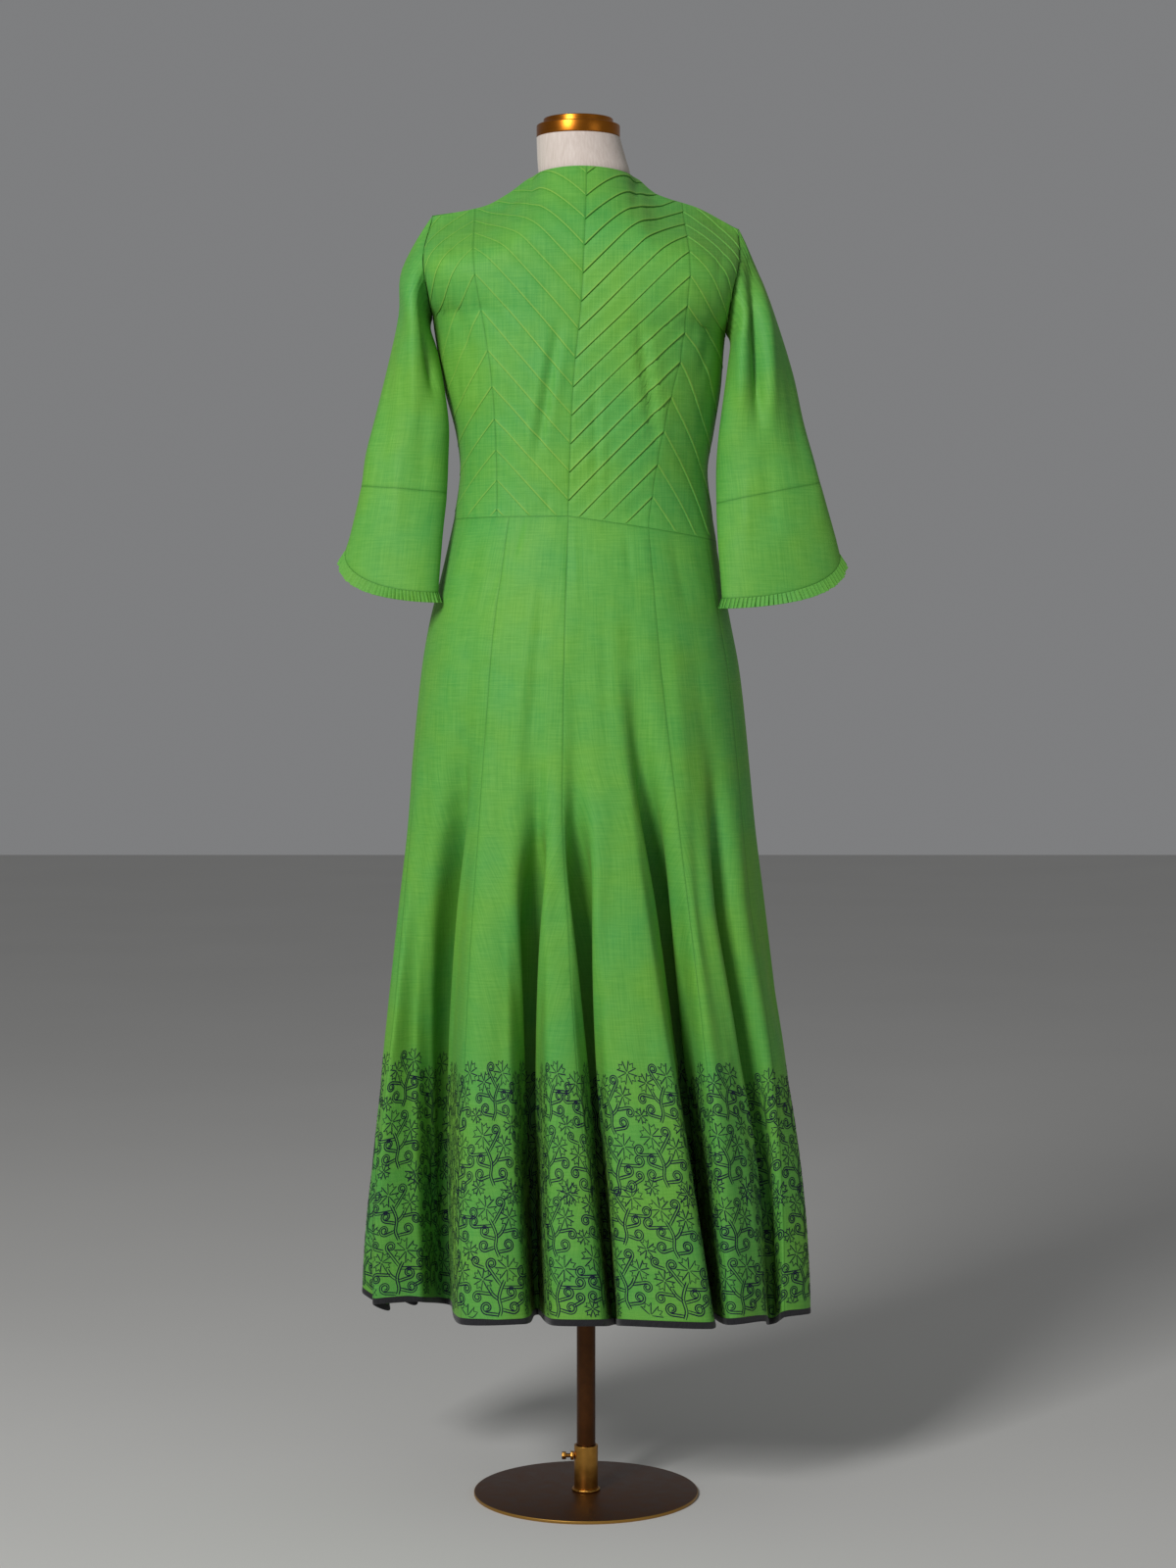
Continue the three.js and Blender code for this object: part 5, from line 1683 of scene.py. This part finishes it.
def armhole_point(is_left, angle):
    """A point of the armhole's edge, under the arm at half a turn and at the shoulder's tip at nought."""
    side = -1 if is_left else 1
    pit = ARMPIT_LEFT if is_left else ARMPIT_RIGHT
    tip_x = SHOULDER_TIP_LEFT if is_left else SHOULDER_TIP_RIGHT
    tip = shoulder_height(tip_x)
    z = np.clip(pit + (tip - pit) * (1 + np.cos(angle)) / 2, pit, tip - 0.01)
    share = np.full_like(z, side)
    back_edge = body_point(BACK, share, z)
    edge = np.where(np.sin(angle)[..., None] < 0, back_edge, body_point(FRONT, share, z))
    return edge + np.array([side * ARMHOLE_GAP, 0, 0])


def tube_rows(rings):
    """A tube's surface through its rings, with smooth rows between them."""
    last = len(rings) - 1
    place = np.linspace(0, last, last * RING_ROWS + 1)
    i = np.clip(place.astype(int), 0, last - 1)
    t = (place - i)[:, None, None]
    here, after = rings[i], rings[i + 1]
    leaving = (after - rings[np.maximum(i - 1, 0)]) / 2
    arriving = (rings[np.minimum(i + 2, last)] - here) / 2
    return smooth_step(here, after, leaving, arriving, t)


def tube_normal(grid):
    across = np.roll(grid, -1, axis=1) - np.roll(grid, 1, axis=1)
    normal = np.cross(across, np.gradient(grid, axis=0))
    normal /= np.linalg.norm(normal, axis=-1, keepdims=True)
    away = grid - grid.mean(axis=1, keepdims=True)
    return normal * np.sign(np.sum(normal * away))


def mirrored_across(grid):
    """The measure across a tube's cloth, out from its inner edge on both faces, so that it never jumps."""
    length = steps_along(grid, 1)
    whole = length[:, -1:] + np.linalg.norm(grid[:, :1] - grid[:, -1:], axis=-1)
    return np.abs(length - whole / 2)


for is_left, table, back_folds in ((True, LEFT_SLEEVE, LEFT_FOLDS), (False, RIGHT_SLEEVE, RIGHT_FOLDS)):
    side = "left" if is_left else "right"
    angle = np.arange(SLEEVE_COLUMNS) / SLEEVE_COLUMNS * 2 * np.pi
    rings = np.stack([armhole_point(is_left, angle)] + [ring_point(is_left, ring, angle) for ring in table])
    tube = tube_rows(rings)
    normal = tube_normal(tube)
    at_back = np.clip(-normal[..., 1] * 2, 0, 1)
    at_front = np.clip(normal[..., 1] * 2, 0, 1)
    lift = soft_folds(tube, back_folds) * at_back + soft_folds(tube, SLEEVE_FRONT_FOLDS) * at_front
    lift += 0.9 * unevenness(tube[..., 0] / 24, tube[..., 2] / 90, 7 if is_left else 12)
    column = np.arange(SLEEVE_COLUMNS)
    gathers = 0.8 * np.sin(column * 2.1) + 0.6 * np.sin(column * 3.3 + 1)
    from_armhole = np.arange(len(tube))[:, None] / RING_ROWS
    lift += gathers * np.clip(1 - from_armhole / 1.2, 0, 1) * np.clip(from_armhole / 0.2, 0, 1)
    lift *= np.clip(from_armhole / 0.3, 0, 1) * np.clip((len(table) - from_armhole) / 0.5, 0.15, 1)
    tube = tube + lift[..., None] * normal
    split = (CUFF_RING + 1) * RING_ROWS
    sleeve, cuff = tube[: split + 1].copy(), tube[split:].copy()
    cuff[0, :, 2] -= SEAM
    cuff[1:] += CUFF_PROUD * normal[split + 1 :]
    # Painted shade along the armhole seam, the cuff seam on both its sides, and the cuff's lower edge
    sleeve, sleeve_shade = shaded_end(sleeve, 0, True, 0.7)
    sleeve, sleeve_shade = shaded_end(sleeve, sleeve_shade, False, 0.55)
    cuff, cuff_shade = shaded_end(cuff, 0, True, 0.35)
    cuff, cuff_shade = shaded_end(cuff, cuff_shade, False, 0.5)

    for name, node, grid, mark, on in (
        ("arm", "sleeve", sleeve, sleeve_shade, "bodice_side"),
        ("band", "cuff", cuff, cuff_shade, "arm"),
    ):
        piece = cloth_piece(f"{name}_{side}", grid, mirrored_across(grid), grid[..., 2], mark, closed=True)
        finish_cloth(piece, looped(grid), shot_cotton_silk, "hung", [f"{on}_{side}"], f"{node}_{side}")


# Sleeve frills. A narrow strip of the same cloth, knife-pleated and pressed, sewn under each cuff's
# edge. Each of the 72 pleats folds over the next, and they spread a little at the free edge.
FRILL_PLEATS = 72
FRILL_LENGTH = 12
FRILL_FLARE = 4
FRILL_ROWS = 7
FRILL_CLOTH = 0.5
# One pleat, along the cuff in shares of its pitch and out from it in millimetres
KNIFE_PLEAT = (
    (0.0, 0.0),
    (0.25, 0.7),
    (0.6, 1.4),
    (0.9, 1.9),
    (1.0, 1.75),
    (0.96, 1.35),
    (0.82, 0.9),
    (0.84, 0.4),
)
for is_left, table in ((True, LEFT_SLEEVE), (False, RIGHT_SLEEVE)):
    side = "left" if is_left else "right"
    fine_angle = np.linspace(0, 2 * np.pi, 1441)
    loop = ring_point(is_left, table[-1], fine_angle)
    reach = np.append(0, np.cumsum(np.linalg.norm(np.diff(loop, axis=0), axis=1)))
    pleat_x, pleat_out = np.array(KNIFE_PLEAT, float).T
    number = np.repeat(np.arange(FRILL_PLEATS), len(KNIFE_PLEAT))
    place = (number + np.tile(pleat_x, FRILL_PLEATS)) / FRILL_PLEATS
    angle = np.interp(place % 1, reach / reach[-1], fine_angle)
    top = ring_point(is_left, table[-1], angle)
    fall = top - ring_point(is_left, table[-2], angle)
    fall /= np.linalg.norm(fall, axis=1, keepdims=True)
    middle = np.array([(table[-1][0] + table[-1][3]) / 2, (table[-1][1] + table[-1][4]) / 2, 0])
    outward = (top - middle) * np.array([1, 1, 0])
    outward /= np.linalg.norm(outward, axis=1, keepdims=True)
    down = np.linspace(0, 1, FRILL_ROWS)[:, None, None]
    depth = np.tile(pleat_out, FRILL_PLEATS) * (1 + 0.22 * np.sin(number * 2.7 + 1))
    spread = (0.75 + 0.4 * down) * depth[None, :, None] + FRILL_FLARE * down
    swing = 0.7 * np.sin(number * 1.9)[None, :, None] * down
    frill = top + fall * (2 * SEAM + (FRILL_LENGTH - 2 * SEAM) * down) + outward * (spread - 0.4 + swing)
    # Painted shade on the parts of each pleat that lie in close to the cuff's line, where the folds meet
    pleat_painted_shade = np.tile(np.clip(1 - pleat_out / 1.2, 0, 1) ** 2, FRILL_PLEATS) * 0.5
    across = steps_along(looped(frill), 1)[:, :-1]
    up = frill[..., 2]
    piece = cloth_piece(f"pleats_{side}", frill, across, up, pleat_painted_shade, closed=True, thickness=FRILL_CLOTH)
    finish_cloth(piece, looped(frill), shot_cotton_silk, "gathered", [f"band_{side}"], f"frill_{side}")


# Studio. A pale floor that carries on into the background, a large soft light from the upper left,
# a weaker one from the right, and a soft grey sky all round.
FLOOR_SIZE = 24
SKY_STRENGTH = 0.3

bpy.ops.mesh.primitive_plane_add(size=FLOOR_SIZE)
floor = bpy.context.object
floor.name = "studio_floor"
pale_floor, tree = empty_material("pale studio floor")
place = add_node(tree, "TexCoord", {}).outputs["Object"]
worn = add_node(tree, "TexNoise", {"Vector": place, "Scale": 1.2, "Detail": 2})
pale = add_node(
    tree,
    "Mix",
    {0: worn.outputs["Fac"], 6: srgb("#C9C8C5"), 7: srgb("#D0CFCC")},
    data_type="RGBA",
)
shader = add_node(
    tree,
    "BsdfPrincipled",
    {"Base Color": pale.outputs[2], "Roughness": 0.9, "Specular IOR Level": 0.2},
)
add_node(tree, "OutputMaterial", {"Surface": shader.outputs["BSDF"]})
floor.data.materials.append(pale_floor)

sky = bpy.data.worlds.new("soft grey sky")
sky.use_nodes = True
sky_light = sky.node_tree.nodes["Background"].inputs
sky_light["Color"].default_value = srgb("#D9DADC")
sky_light["Strength"].default_value = SKY_STRENGTH
bpy.context.scene.world = sky


def add_soft_light(name, place, size, power, aim_height):
    light = bpy.data.lights.new(name, "AREA")
    light.shape = "RECTANGLE"
    light.size, light.size_y = size
    light.energy = power
    lamp = bpy.data.objects.new(name, light)
    lamp.location = place
    towards = Vector((0, 0, aim_height)) - lamp.location
    lamp.rotation_euler = towards.to_track_quat("-Z", "Y").to_euler()
    bpy.context.scene.collection.objects.link(lamp)


add_soft_light("key light", (-1.7, -3.0, 2.7), (1.0, 1.3), 120, 0.95)
add_soft_light("fill light", (2.6, -2.6, 1.5), (1.6, 2.0), 7, 0.8)
bpy.context.scene.view_settings.view_transform = "Standard"
